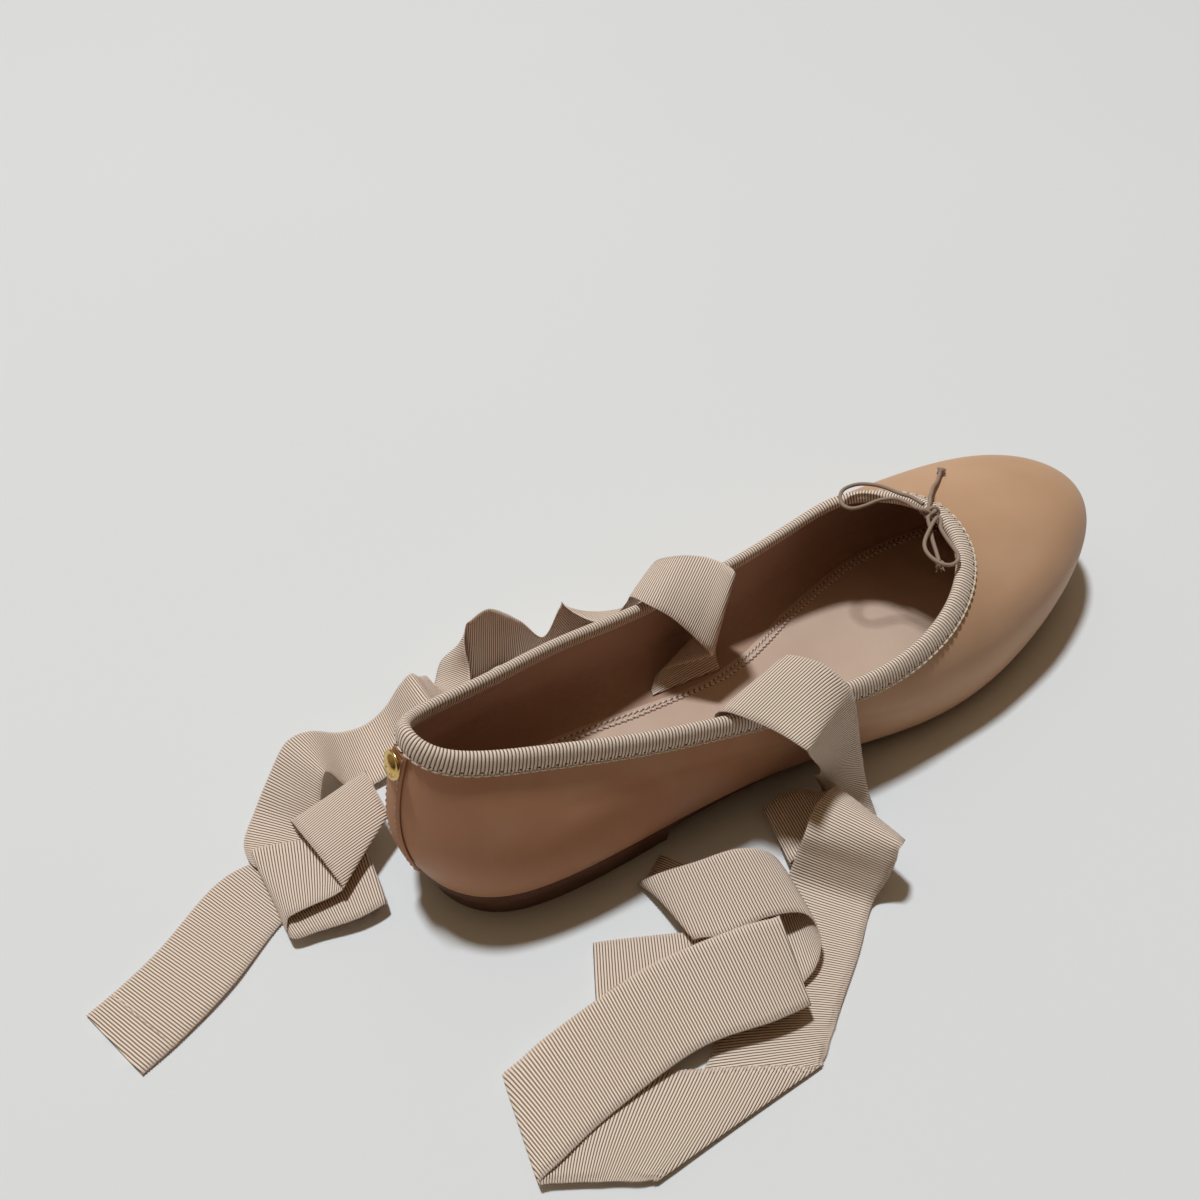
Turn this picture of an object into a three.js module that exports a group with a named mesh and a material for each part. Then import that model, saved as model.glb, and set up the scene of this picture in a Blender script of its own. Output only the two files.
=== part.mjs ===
// Lace-up ballet flat for the right foot, in millimetres.
// +X points to the toe, +Y to the inner side of the foot, +Z up; the floor is at Z = 0.
import * as THREE from 'three';

// Driving dimensions
const LAST_LENGTH = 248;
const BALL_WIDTH = 76;
const BACK_HEIGHT = 64.5;
const HEEL_SEAT = 12.3;
const WALL = 1.4;
const GAP = 0.3;
const SOLE_THICKNESS = 4.2;
const INSOLE_THICKNESS = 2;

// Feather edge, where the upper meets the sole, a row for each section from heel to toe.
// at: share of the length; lateral, medial: shares of the ball width; seat: share of the heel seat;
// lean: the wall's first direction in degrees above level; reach: how far that direction carries.
const FEATHER = [
  { at: -0.023, lateral: 0, medial: 0, seat: 1, lean: 70, reach: 0.39 },
  { at: 0.023, lateral: 0.302, medial: 0.302, seat: 1, lean: 69, reach: 0.385 },
  { at: 0.122, lateral: 0.375, medial: 0.368, seat: 1.04, lean: 66.5, reach: 0.375 },
  { at: 0.245, lateral: 0.375, medial: 0.355, seat: 0.99, lean: 66.5, reach: 0.36 },
  { at: 0.373, lateral: 0.37, medial: 0.322, seat: 0.775, lean: 66.5, reach: 0.36 },
  { at: 0.491, lateral: 0.421, medial: 0.355, seat: 0.49, lean: 66.5, reach: 0.36 },
  { at: 0.602, lateral: 0.5, medial: 0.434, seat: 0.32, lean: 66.5, reach: 0.38 },
  { at: 0.715, lateral: 0.488, medial: 0.506, seat: 0.31, lean: 68, reach: 0.4 },
  { at: 0.829, lateral: 0.394, medial: 0.485, seat: 0.41, lean: 69, reach: 0.415 },
  { at: 0.949, lateral: 0.222, medial: 0.332, seat: 0.66, lean: 68, reach: 0.455 },
  { at: 1.022, lateral: -0.06, medial: 0.06, seat: 0.855, lean: 68.5, reach: 0.54 },
];

// Topline, with the same sections. rise: share of the back height; lean and reach: the wall's
// last direction, from upright at the heel to almost level over the toes.
const TOPLINE = [
  { at: 0.005, lateral: 0.02, medial: -0.02, rise: 1, lean: 67, reach: 0.285 },
  { at: 0.023, lateral: 0.166, medial: 0.098, rise: 0.914, lean: 74, reach: 0.29 },
  { at: 0.133, lateral: 0.25, medial: 0.171, rise: 0.805, lean: 79, reach: 0.295 },
  { at: 0.222, lateral: 0.323, medial: 0.268, rise: 0.714, lean: 79, reach: 0.3 },
  { at: 0.321, lateral: 0.37, medial: 0.302, rise: 0.627, lean: 78, reach: 0.3 },
  { at: 0.422, lateral: 0.434, medial: 0.35, rise: 0.569, lean: 74, reach: 0.3 },
  { at: 0.526, lateral: 0.48, medial: 0.37, rise: 0.547, lean: 66, reach: 0.32 },
  { at: 0.619, lateral: 0.442, medial: 0.38, rise: 0.597, lean: 51, reach: 0.357 },
  { at: 0.68, lateral: 0.337, medial: 0.343, rise: 0.676, lean: 36, reach: 0.395 },
  { at: 0.722, lateral: 0.183, medial: 0.182, rise: 0.705, lean: 25, reach: 0.436 },
  { at: 0.73, lateral: -0.008, medial: 0.008, rise: 0.748, lean: 11.5, reach: 0.47 },
];

// Section of the folded binding: out is the distance outside the upper's face,
// up the distance above its top edge along the wall.
const BINDING = [
  { out: 0.75, up: -4.7 },
  { out: 1.25, up: -2.2 },
  { out: 1, up: 0.5 },
  { out: -0.6, up: 1.5 },
  { out: -2.1, up: 0.5 },
  { out: -2.4, up: -0.9 },
  { out: -2.2, up: -2.7 },
  { out: -WALL - GAP, up: -2.7 },
  { out: -WALL - GAP, up: GAP },
  { out: GAP, up: GAP },
  { out: GAP, up: -4.7 },
];

const HEEL_BREAST = 62;
const HEEL_BREAST_HOLLOW = 6;
const HEEL_TOP_INSET = 1.9;
const HEEL_BASE_INSET = 3.6;
const SOLE_TOP_INSET = 0.2;
const SOLE_BASE_INSET = 1.6;
const INSOLE_INSET = 1.9;
const STRIP_HALF_WIDTH = 3.5;
const STRIP_FLARE = { foot: 0.95, top: 1.55 };
const STRIP_THICKNESS = 0.9;
const STRIP_TOP = 5.3;
const STRIP_FOOT = 1;
const STUD_RADIUS = 4;
const STUD_HEIGHT = 1.9;
const STUD_DROP = 9.6;

// Ankle ribbons as they lie, a row for each bend, fold or twist. x, y, z: the middle of the ribbon;
// yaw, bank: the line straight across it, in degrees round the upright and above level;
// span: the ribbon along that line, longer than its width at a slanting fold, shorter where it curls.
const TIE_COLUMNS = ['x', 'y', 'z', 'yaw', 'bank', 'span'];
const TIE_THICKNESS = 0.5;
const TIE_STEPS = 3;
const LATERAL_TIE = [
  [95, -30, 20, -6, 0, 25],
  [94.5, -26.2, 31, -5, 4, 25],
  [91.5, -24.2, 41.6, -3, 16, 25],
  [92.3, -25.3, 45.4, 10, 8.2, 24.8],
  [97.7, -34.9, 45.4, 17.8, 10.2, 24.8],
  [100.5, -42.5, 43.2, 24.2, 5.7, 24.8],
  [102.3, -44.1, 39.2, 20.6, -1.4, 24.8],
  [105.4, -44.3, 26.9, 12.3, -26.7, 24.8],
  [109.3, -44.5, 11.6, -11.2, -43, 23],
  [104.8, -49.7, 3.2, -104, 5.6, 24.6],
  [98, -44.4, 1, -105, 0, 23],
  [89.9, -42.9, 1, -107.3, 0, 20.9],
  [86.5, -43, 3.2, -107.9, 0, 20],
  [89.7, -44, 5.5, -105.6, -0.6, 20],
  [97.6, -47.4, 6.8, -100.7, 1, 23.6],
  [103, -54.5, 9.5, -92, 3, 25],
  [106, -57.4, 14, -88, 4, 25],
  [102, -59.8, 17.4, -82, 3, 25],
  [97.4, -61.3, 17.3, -68.6, 1.4, 24.6],
  [94, -63.3, 14.2, -57, -0.9, 24.3],
  [91.5, -63.6, 8, -55.4, -1.9, 24.2],
  [87.8, -64.2, 2.2, -53.9, -0.5, 23.2],
  [83.3, -66.4, 0.8, -53.3, 0, 23.8],
  [74, -72.4, 0.8, -58, 0, 25],
  [58, -82.4, 0.8, -58, 0, 25],
  [51, -86.8, 0.8, -36, 0, 27],
  [43.9, -91.2, 0.8, -19.5, 0, 32],
  [34.1, -97.4, 0.9, -4.3, 0, 42],
  [29.9, -99.8, 1.4, 0, 0, 46],
  [25.4, -97.2, 2, 4.4, 0, 42],
  [15, -90.7, 2.1, 19.5, 0, 32],
  [7.6, -86, 2.2, 36, 0, 27],
  [0.2, -81.4, 2.3, 58, 0, 25],
  [-9.2, -75.5, 2.4, 72, 0, 25.8],
  [-13.3, -73, 2.9, 78, 0, 26.6],
  [-7.5, -72.1, 3.5, 81, 0, 26],
  [5.9, -70.2, 4, 89.4, 1.9, 24.6],
  [31.5, -70.4, 7, 87.2, 7.8, 23.5],
  [52.2, -75.9, 9.6, 76.9, 13.5, 24],
  [60.8, -78.3, 10, 73.6, 17.5, 22.6],
  [62.8, -78.2, 9.2, 72.9, 18, 22],
  [58.7, -75.8, 5.3, 82.3, 7.8, 18.8],
  [45, -66.7, 3.4, 60.1, 0.9, 24.8],
  [27, -56.3, 2.7, 60, 0.5, 24.9],
  [20.5, -52.5, 1.7, 60, 0, 25],
  [27, -56, 0.8, 60, 0, 25],
  [45, -64.5, 1.6, 62, 0, 25],
  [60, -70.5, 2.3, 65, 0, 24],
  [70.5, -71.5, 3.6, 71, 0, 20],
  [75.7, -67.6, 6.9, 77, 3.4, 16.9],
  [75.2, -60.9, 10.8, 78.4, 7.4, 18.4],
  [67.2, -56.4, 12.6, 74.2, 10.3, 20],
  [56.9, -52.7, 10.3, 75.8, 4.6, 22.2],
  [50.1, -48.7, 8, 82.6, -1, 22.6],
  [47.2, -46.3, 5.4, 89, -4.9, 23.4],
  [50, -44.8, 3.3, 104, -11, 25],
  [56.5, -43, 1.8, 119, -6, 25],
  [63.5, -39.4, 1.2, 120, -2, 25],
];
const MEDIAL_TIE = [
  [97, 13.2, 11.4, -2, -6, 25],
  [98.5, 16.6, 13.2, 2, -1, 25],
  [103.5, 20.6, 18.8, 11, 15, 25],
  [110.4, 15.6, 27.8, 34.2, 29.1, 23.8],
  [107.7, 9.5, 36.6, 29.1, 46.9, 24.9],
  [106.2, 15.1, 39.1, 30.8, 25.2, 24.8],
  [103.1, 20.8, 41.5, 31.7, 10, 24.8],
  [98.7, 26, 42.8, 33.6, -0.9, 24.8],
  [95.8, 33, 40.2, 38.3, -13.1, 24.8],
  [96, 35.4, 34.9, 35.5, -17.1, 25.2],
  [95.4, 38.4, 28.5, 31.3, -18.1, 25.1],
  [93.5, 43, 21.1, 21.6, -19.1, 25],
  [88, 54, 14.8, 20, -45, 33],
  [77.1, 51.8, 14, 31.8, -80, 25.2],
  [69.3, 54.5, 10.2, 72.6, -58.3, 21.9],
  [63.6, 57.3, 12.4, 77.1, -81.7, 23.7],
  [57.8, 63.9, 13.4, 23.7, -88.7, 25.3],
  [48.5, 63.5, 13.1, 169.5, -83.5, 24.7],
  [48.2, 68.3, 14, 82.5, -56.6, 22.7],
  [44.3, 67.8, 10, 95.4, -42.3, 23.7],
  [39.9, 62, 5.9, 118.1, -32.9, 18.6],
  [34, 55, 6, 90, 4, 25],
  [30, 52.5, 11, 88, 0, 25],
  [26.5, 51, 15, 85, 0, 25],
  [21.5, 51.5, 12, 82, 0, 25],
  [14.5, 53, 4.6, 76, 0, 25],
  [6, 52.5, 2.2, 72, 0, 25],
  [-2, 52, 5.5, 74, 0, 23],
  [-8, 53, 12, 86, 0, 19],
  [-13, 52, 13, 104, 0, 19],
  [-19.5, 47, 8, 118, 0, 20],
  [-24.5, 41.5, 3.4, 126, 0, 23],
  [-28.5, 34.5, 1.9, 138, 0, 25],
  [-26, 28.5, 2.5, 162, 0, 25],
  [-18, 26.5, 3, -180, 0, 25],
  [-12.5, 31.5, 5, -170, 0, 25],
  [-12, 36, 9, -166, 0, 26],
  [-12.4, 35.1, 12.5, -172.9, -4.7, 24.4],
  [-11.8, 24.7, 12.8, -158, -2.9, 24.1],
  [-11.3, 17.2, 11.5, -148.6, -3.3, 24.6],
  [-11.2, 13.7, 9.9, -145.8, -3.3, 24.6],
  [-14.5, 14.7, 8.2, -138.5, -2.2, 23.3],
  [-24.4, 17.6, 7.5, -116.8, -1.6, 22],
  [-33.4, 20.8, 7, -96.9, -0.9, 25],
  [-37.3, 21.9, 5.7, -90.2, -1.3, 27],
  [-37.3, 16.3, 4.1, -94.2, -2.3, 24.7],
  [-30, 14.2, 3.9, -94.6, -1.4, 24.8],
  [-19.2, 11.3, 4.6, -98.1, -0.9, 24.9],
  [-11.7, 10.8, 4.4, -98.2, 0, 23.8],
  [-13.3, 12.6, 1.8, -96.2, -0.2, 24.1],
  [-24, 15.6, 0.7, -90, 0, 25],
  [-33.5, 23.5, 0.7, -72, 0, 25],
  [-44, 23.5, 0.7, -62, 0, 25],
  [-62, 12.6, 1.2, -60, 0, 25],
  [-76, 6.6, 1, -68, 0, 25],
  [-86.5, 3.4, 0.7, -73, 0, 25],
];

// Drawstring bow at the throat: the middle line of each stretch of cord, and its knots.
const CORD_RADIUS = 0.6;
const CORD_SIDES = 8;
const BOW = {
  bow_loop_medial: [
    [176.8, 0.4, 50.9], [176.8, 5.6, 50.6], [175.8, 9.3, 50.2], [174.4, 16.5, 49.5],
    [171.1, 21.9, 48.6], [166.7, 23.8, 47.7], [163.4, 22.3, 47.1], [161.2, 18.5, 46.9],
    [161.9, 15.2, 47.2], [165, 13.3, 47.9], [170.1, 11.8, 48.8], [173.6, 8.9, 49.4],
    [174.6, 4.5, 49.9], [174, 0.6, 50.2],
  ],
  bow_loop_lateral: [
    [176.2, -6, 50.2], [173.7, -7, 50], [171.1, -8.3, 49.5], [166.9, -10.7, 48.8],
    [164.8, -12.9, 48.2], [163.9, -15.9, 47.6], [164.4, -19.5, 47.1], [166.2, -21.7, 46.9],
    [169, -21.8, 46.9], [171.1, -20.1, 47.2], [172, -17.1, 47.8], [173.2, -12.9, 48.4],
    [175, -9, 48.6], [177.6, -6.8, 49],
  ],
  bow_end_medial: [
    [178.2, -0.6, 51.1], [181.2, 2, 50.8], [184.6, 4.6, 49.2], [189.8, 8.6, 46.8],
    [195, 11.8, 44.8], [200.6, 15.6, 43.3],
  ],
  bow_end_lateral: [
    [173.2, -4.6, 49.9], [172.2, -7.6, 48.1], [170.4, -10.4, 47.3], [168.2, -14.1, 46.6],
    [166.6, -16.8, 46.2],
  ],
};
// length, depth, height: full sizes; turn: degrees from +X to the knot's length.
const KNOTS = {
  bow_knot: { x: 176.6, y: -2.8, z: 49.6, length: 6.6, depth: 5, height: 3.6, turn: -30 },
  end_knot_medial: { x: 202.2, y: 16.9, z: 43, length: 3.2, depth: 3.2, height: 2.8, turn: 40 },
  end_knot_lateral: { x: 165.9, y: -18.3, z: 44.9, length: 3, depth: 2.8, height: 2.8, turn: -60 },
};

const AROUND = 72;
const UP_THE_WALL = 9;
const ALONG_SOLE = 44;

const SIDE = FEATHER.length - 1;
const ROUND = 2 * SIDE;
const UP = new THREE.Vector3(0, 0, 1);

// A closed run of values: heel, outer side, toe, inner side and back to the heel.
function closedRun(table, outer, inner = outer, sign = 1) {
  const there = table.map((row) => sign * row[outer]);
  const back = table.slice(1, SIDE).map((row) => row[inner]).reverse();
  return there.concat(back);
}

// Uniform cubic B-spline through a closed run; u counts sections.
function spline(run, u) {
  const first = Math.floor(u);
  const t = u - first;
  const weights = [
    (1 - t) ** 3,
    3 * t ** 3 - 6 * t ** 2 + 4,
    -3 * t ** 3 + 3 * t ** 2 + 3 * t + 1,
    t ** 3,
  ];
  const value = (k) => run[(((first - 1 + k) % ROUND) + ROUND) % ROUND];
  return weights.reduce((sum, weight, k) => sum + (weight * value(k)) / 6, 0);
}

const RUNS = {
  footAt: closedRun(FEATHER, 'at'),
  footSide: closedRun(FEATHER, 'lateral', 'medial', -1),
  seat: closedRun(FEATHER, 'seat'),
  footLean: closedRun(FEATHER, 'lean'),
  footReach: closedRun(FEATHER, 'reach'),
  topAt: closedRun(TOPLINE, 'at'),
  topSide: closedRun(TOPLINE, 'lateral', 'medial', -1),
  rise: closedRun(TOPLINE, 'rise'),
  topLean: closedRun(TOPLINE, 'lean'),
  topReach: closedRun(TOPLINE, 'reach'),
};

function feather(u) {
  return new THREE.Vector3(
    LAST_LENGTH * spline(RUNS.footAt, u),
    BALL_WIDTH * spline(RUNS.footSide, u),
    HEEL_SEAT * spline(RUNS.seat, u),
  );
}

function topline(u) {
  return new THREE.Vector3(
    LAST_LENGTH * spline(RUNS.topAt, u),
    BALL_WIDTH * spline(RUNS.topSide, u),
    BACK_HEIGHT * spline(RUNS.rise, u),
  );
}

// Level direction that points out of the feather edge.
function outOfFoot(u) {
  const along = feather(u + 0.02).sub(feather(u - 0.02));
  return new THREE.Vector3(along.y, -along.x, 0).normalize();
}

function slant(out, degrees, outwards) {
  const angle = THREE.MathUtils.degToRad(degrees);
  return out.clone().multiplyScalar(outwards * Math.cos(angle)).addScaledVector(UP, Math.sin(angle));
}

// Outer face of the upper: one cubic curve up the wall for each u, from feather edge to topline.
function face(u, v) {
  const foot = feather(u);
  const top = topline(u);
  const out = outOfFoot(u);
  const span = foot.distanceTo(top);
  const low = slant(out, spline(RUNS.footLean, u), 1).multiplyScalar(span * spline(RUNS.footReach, u));
  const high = slant(out, spline(RUNS.topLean, u), -1).multiplyScalar(-span * spline(RUNS.topReach, u));
  return new THREE.CubicBezierCurve3(foot, foot.clone().add(low), top.clone().add(high), top).getPoint(v);
}

// Point at a distance outside the outer face, with the face's own normal.
function skin(u, v, out) {
  const step = 0.01;
  const low = Math.max(0, v - step);
  const high = Math.min(1, v + step);
  const along = face(u + step, v).sub(face(u - step, v));
  const up = face(u, high).sub(face(u, low));
  const normal = along.cross(up).normalize();
  return face(u, v).addScaledVector(normal, out);
}

// The share of the wall that lies a distance below the topline.
function below(u, distance) {
  const steps = 60;
  let point = face(u, 1);
  let walked = 0;
  for (let i = 1; i <= steps; i += 1) {
    const next = face(u, 1 - i / steps);
    const stride = next.distanceTo(point);
    if (walked + stride >= distance) {
      return 1 - (i - 1 + (distance - walked) / stride) / steps;
    }
    walked += stride;
    point = next;
  }
  return 0;
}

// Mesh data from rows of points; each face is given by its corners in outward order.
function solid(points, triangles) {
  const geometry = new THREE.BufferGeometry();
  const flat = points.flatMap((point) => [point.x, point.y, point.z]);
  geometry.setAttribute('position', new THREE.Float32BufferAttribute(flat, 3));
  geometry.setIndex(triangles);
  geometry.computeVertexNormals();
  return geometry;
}

// A ring: a closed section carried round a closed path.
function ring(rows) {
  const count = rows[0].length;
  const triangles = [];
  rows.forEach((row, i) => {
    const next = (i + 1) % rows.length;
    for (let j = 0; j < count; j += 1) {
      const k = (j + 1) % count;
      triangles.push(i * count + j, next * count + j, next * count + k);
      triangles.push(i * count + j, next * count + k, i * count + k);
    }
  });
  return solid(rows.flat(), triangles);
}

// A slab between two grids of the same size, the first one facing outwards.
function slab(front, back) {
  const rows = front.length;
  const columns = front[0].length;
  const shift = rows * columns;
  const at = (i, j) => i * columns + j;
  const triangles = [];
  const quad = (a, b, c, d) => triangles.push(a, b, c, a, c, d);
  for (let i = 0; i + 1 < rows; i += 1) {
    for (let j = 0; j + 1 < columns; j += 1) {
      quad(at(i, j), at(i + 1, j), at(i + 1, j + 1), at(i, j + 1));
      quad(shift + at(i, j), shift + at(i, j + 1), shift + at(i + 1, j + 1), shift + at(i + 1, j));
    }
    const last = columns - 1;
    quad(at(i, 0), shift + at(i, 0), shift + at(i + 1, 0), at(i + 1, 0));
    quad(at(i + 1, last), shift + at(i + 1, last), shift + at(i, last), at(i, last));
  }
  for (let j = 0; j + 1 < columns; j += 1) {
    const end = rows - 1;
    quad(at(0, j + 1), shift + at(0, j + 1), shift + at(0, j), at(0, j));
    quad(at(end, j), shift + at(end, j), shift + at(end, j + 1), at(end, j + 1));
  }
  return solid(front.flat().concat(back.flat()), triangles);
}

// A block between two outlines of the same count, the upper one first, capped in plan.
function block(upper, lower) {
  const count = upper.length;
  const outline = upper.map((point) => new THREE.Vector2(point.x, point.y));
  const triangles = [];
  THREE.ShapeUtils.triangulateShape(outline, []).forEach(([a, b, c]) => {
    triangles.push(a, b, c);
    triangles.push(count + a, count + c, count + b);
  });
  for (let i = 0; i < count; i += 1) {
    const next = (i + 1) % count;
    triangles.push(i, count + i, count + next, i, count + next, next);
  }
  return solid(upper.concat(lower), triangles);
}

function part(name, geometry, look) {
  const mesh = new THREE.Mesh(geometry, new THREE.MeshStandardMaterial(look));
  mesh.name = name;
  return mesh;
}

const steps = (count, from, to) =>
  Array.from({ length: count + 1 }, (_, i) => from + ((to - from) * i) / count);
const roundTrip = steps(AROUND, 0, ROUND).slice(0, AROUND);

const LEATHER = { color: 0xb08c70, roughness: 0.55, metalness: 0 };
const RIBBED = { color: 0xc8b19b, roughness: 0.85, metalness: 0 };
const LINING = { color: 0xbea08c, roughness: 0.8, metalness: 0 };
const SOLE_LEATHER = { color: 0x2d160a, roughness: 0.6, metalness: 0 };
const ELASTIC = { color: 0x8a7464, roughness: 0.8, metalness: 0 };
const GILT = { color: 0xc9a548, roughness: 0.3, metalness: 1 };

// Upper: the outer face up to the topline and the inner face down again.
function makeUpper() {
  const up = steps(UP_THE_WALL, 0, 1);
  const rows = roundTrip.map((u) => [
    ...up.map((v) => skin(u, v, 0)),
    ...up.map((v) => skin(u, 1 - v, -WALL)),
  ]);
  return part('upper', ring(rows), LEATHER);
}

function makeBinding() {
  const rows = roundTrip.map((u) =>
    BINDING.map(({ out, up }) => {
      if (up < 0) {
        return skin(u, below(u, -up), out);
      }
      const rim = face(u, 1).sub(face(u, 0.98)).normalize();
      return skin(u, 1, out).addScaledVector(rim, up);
    }),
  );
  return part('topline_binding', ring(rows), RIBBED);
}

function makeHeelStrip() {
  const columns = steps(6, -1, 1);
  const halfTurn = STRIP_HALF_WIDTH / feather(1).distanceTo(feather(0));
  const layer = (out) =>
    steps(10, 0, 1).map((share) =>
      columns.map((side) => {
        const u = -side * halfTurn * (STRIP_FLARE.foot + (STRIP_FLARE.top - STRIP_FLARE.foot) * share ** 4);
        const foot = 1 - below(u, STRIP_TOP);
        const lowest = STRIP_FOOT / feather(u).distanceTo(topline(u));
        return skin(u, lowest + (1 - foot - lowest) * share, out);
      }),
    );
  return part('heel_strip', slab(layer(GAP + STRIP_THICKNESS), layer(GAP)), LEATHER);
}

function makeHeelStud() {
  const profile = [
    new THREE.Vector2(0, 0),
    new THREE.Vector2(STUD_RADIUS, 0),
    new THREE.Vector2(STUD_RADIUS, 0.35 * STUD_HEIGHT),
    new THREE.Vector2(0.8 * STUD_RADIUS, 0.75 * STUD_HEIGHT),
    new THREE.Vector2(0.45 * STUD_RADIUS, 0.96 * STUD_HEIGHT),
    new THREE.Vector2(0, STUD_HEIGHT),
  ];
  const stud = part('heel_stud', new THREE.LatheGeometry(profile, 20), GILT);
  const v = below(0, STUD_DROP);
  const seat = skin(0, v, 2 * GAP + STRIP_THICKNESS);
  const axis = skin(0, v, 1).sub(skin(0, v, 0)).normalize();
  stud.position.copy(seat);
  stud.quaternion.setFromUnitVectors(new THREE.Vector3(0, 1, 0), axis);
  return stud;
}

// The feather edge moved in, at a height worked out from the seat.
function edge(u, inset, height) {
  const foot = feather(u);
  const point = foot.clone().addScaledVector(outOfFoot(u), -inset);
  point.z = height(foot.z);
  return point;
}

// A level-sectioned layer of the sole, closed from the outer to the inner edge.
function soleLayer(inset, height) {
  return steps(ALONG_SOLE, 0.04, SIDE - 0.04).map((u) => [edge(u, inset, height), edge(-u, inset, height)]);
}

const soleTop = (seat) => seat - GAP;
const soleBase = (seat) => Math.max(0, seat - GAP - SOLE_THICKNESS);

function makeOutsole() {
  const top = soleLayer(SOLE_TOP_INSET, soleTop);
  const base = soleLayer(SOLE_BASE_INSET, soleBase);
  return part('outsole', slab(top, base), SOLE_LEATHER);
}

function makeInsole() {
  const top = soleLayer(INSOLE_INSET, (seat) => seat + INSOLE_THICKNESS);
  const base = soleLayer(INSOLE_INSET, (seat) => seat);
  return part('insole', slab(top, base), LINING);
}

// Heel block: the sole's edge round the back, closed in front by a hollow breast.
function makeHeel() {
  const breastAt = steps(200, 1, 5).find((u) => feather(u).x >= HEEL_BREAST);
  const outline = (inset, height) => {
    const sides = steps(26, -breastAt, breastAt).map((u) => edge(u, inset, height));
    const from = sides[sides.length - 1];
    const to = sides[0];
    const middle = from.clone().add(to).multiplyScalar(0.5);
    middle.x -= 2 * HEEL_BREAST_HOLLOW;
    const breast = new THREE.QuadraticBezierCurve3(from, middle, to).getPoints(8).slice(1, 8);
    return sides.concat(breast);
  };
  const top = outline(HEEL_TOP_INSET, (seat) => soleBase(seat) - GAP);
  const base = outline(HEEL_BASE_INSET, () => 0);
  return part('heel', block(top, base), SOLE_LEATHER);
}

const smooth = (points) => new THREE.CatmullRomCurve3(points, false, 'catmullrom', 0.5);

// Ribbon: a thin slab either side of the face that the lines across it sweep out.
function makeTie(name, table) {
  const rows = table.map((row) => Object.fromEntries(TIE_COLUMNS.map((column, i) => [column, row[i]])));
  const middles = smooth(rows.map(({ x, y, z }) => new THREE.Vector3(x, y, z)));
  const lines = smooth(
    rows.map(({ yaw, bank }) => {
      const level = new THREE.Vector3(1, 0, 0).applyAxisAngle(UP, THREE.MathUtils.degToRad(yaw));
      return slant(level, bank, 1);
    }),
  );
  const spans = smooth(rows.map(({ span }) => new THREE.Vector3(span, 0, 0)));
  const places = steps(TIE_STEPS * (rows.length - 1), 0, 1);
  const layer = (out) =>
    places.map((t) => {
      const across = lines.getPoint(t).normalize();
      const normal = middles.getTangent(t).cross(across).normalize();
      const half = 0.5 * spans.getPoint(t).x;
      return [half, -half].map((side) =>
        middles.getPoint(t).addScaledVector(across, side).addScaledVector(normal, out),
      );
    });
  return part(name, slab(layer(-0.5 * TIE_THICKNESS), layer(0.5 * TIE_THICKNESS)), RIBBED);
}

// Cord: a round section drawn along its middle line.
function makeCord(name, points) {
  const section = new THREE.Shape(
    steps(CORD_SIDES, 0, 2 * Math.PI)
      .slice(0, CORD_SIDES)
      .map((angle) => new THREE.Vector2(CORD_RADIUS * Math.cos(angle), CORD_RADIUS * Math.sin(angle))),
  );
  const path = smooth(points.map(([x, y, z]) => new THREE.Vector3(x, y, z)));
  const along = 3 * (points.length - 1);
  return part(name, new THREE.ExtrudeGeometry(section, { steps: along, extrudePath: path }), ELASTIC);
}

function makeKnot(name, { x, y, z, length, depth, height, turn }) {
  const knot = part(name, new THREE.SphereGeometry(0.5, 12, 8), ELASTIC);
  knot.rotation.set(0, 0, THREE.MathUtils.degToRad(turn));
  knot.scale.set(length, depth, height);
  knot.position.set(x, y, z);
  return knot;
}

const shoe = new THREE.Group();
shoe.add(makeUpper(), makeBinding(), makeHeelStrip(), makeHeelStud());
shoe.add(makeInsole(), makeOutsole(), makeHeel());

// The origin lies on the floor under the middle of the shoe, without its ribbons and bow.
const middle = new THREE.Box3().setFromObject(shoe).getCenter(new THREE.Vector3());
shoe.position.set(-middle.x, -middle.y, 0);

shoe.add(makeTie('tie_lateral', LATERAL_TIE), makeTie('tie_medial', MEDIAL_TIE));
Object.entries(BOW).forEach(([name, points]) => shoe.add(makeCord(name, points)));
Object.entries(KNOTS).forEach(([name, knot]) => shoe.add(makeKnot(name, knot)));

export default shoe;
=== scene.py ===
from math import cos, pi, radians, sin

import bpy
import numpy as np
from mathutils import Matrix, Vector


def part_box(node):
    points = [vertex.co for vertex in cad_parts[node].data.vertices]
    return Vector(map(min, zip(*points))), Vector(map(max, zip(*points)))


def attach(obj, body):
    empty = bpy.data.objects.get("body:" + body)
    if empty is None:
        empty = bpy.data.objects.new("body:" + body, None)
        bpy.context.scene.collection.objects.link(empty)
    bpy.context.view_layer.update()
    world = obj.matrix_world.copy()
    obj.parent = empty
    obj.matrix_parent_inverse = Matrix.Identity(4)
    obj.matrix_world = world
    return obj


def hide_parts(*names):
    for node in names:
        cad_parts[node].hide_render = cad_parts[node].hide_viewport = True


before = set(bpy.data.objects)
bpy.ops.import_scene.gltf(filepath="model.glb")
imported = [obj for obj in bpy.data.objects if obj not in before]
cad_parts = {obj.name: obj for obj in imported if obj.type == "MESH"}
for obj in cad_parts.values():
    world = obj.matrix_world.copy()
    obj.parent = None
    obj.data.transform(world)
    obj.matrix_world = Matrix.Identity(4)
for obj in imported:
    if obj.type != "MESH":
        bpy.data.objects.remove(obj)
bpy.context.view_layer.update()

print("frame loaded:", len(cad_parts), "nodes")

# Shapes are worked out in millimetres with the heel near x = 0, then moved into the frame in metres.
knotInShoe = np.array([176.6, -2.8, 49.6])
knotInFrame = 1000 * np.mean(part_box("bow_knot"), axis=0)
shoeMiddle = (knotInShoe - knotInFrame) * [1, 1, 0]


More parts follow.
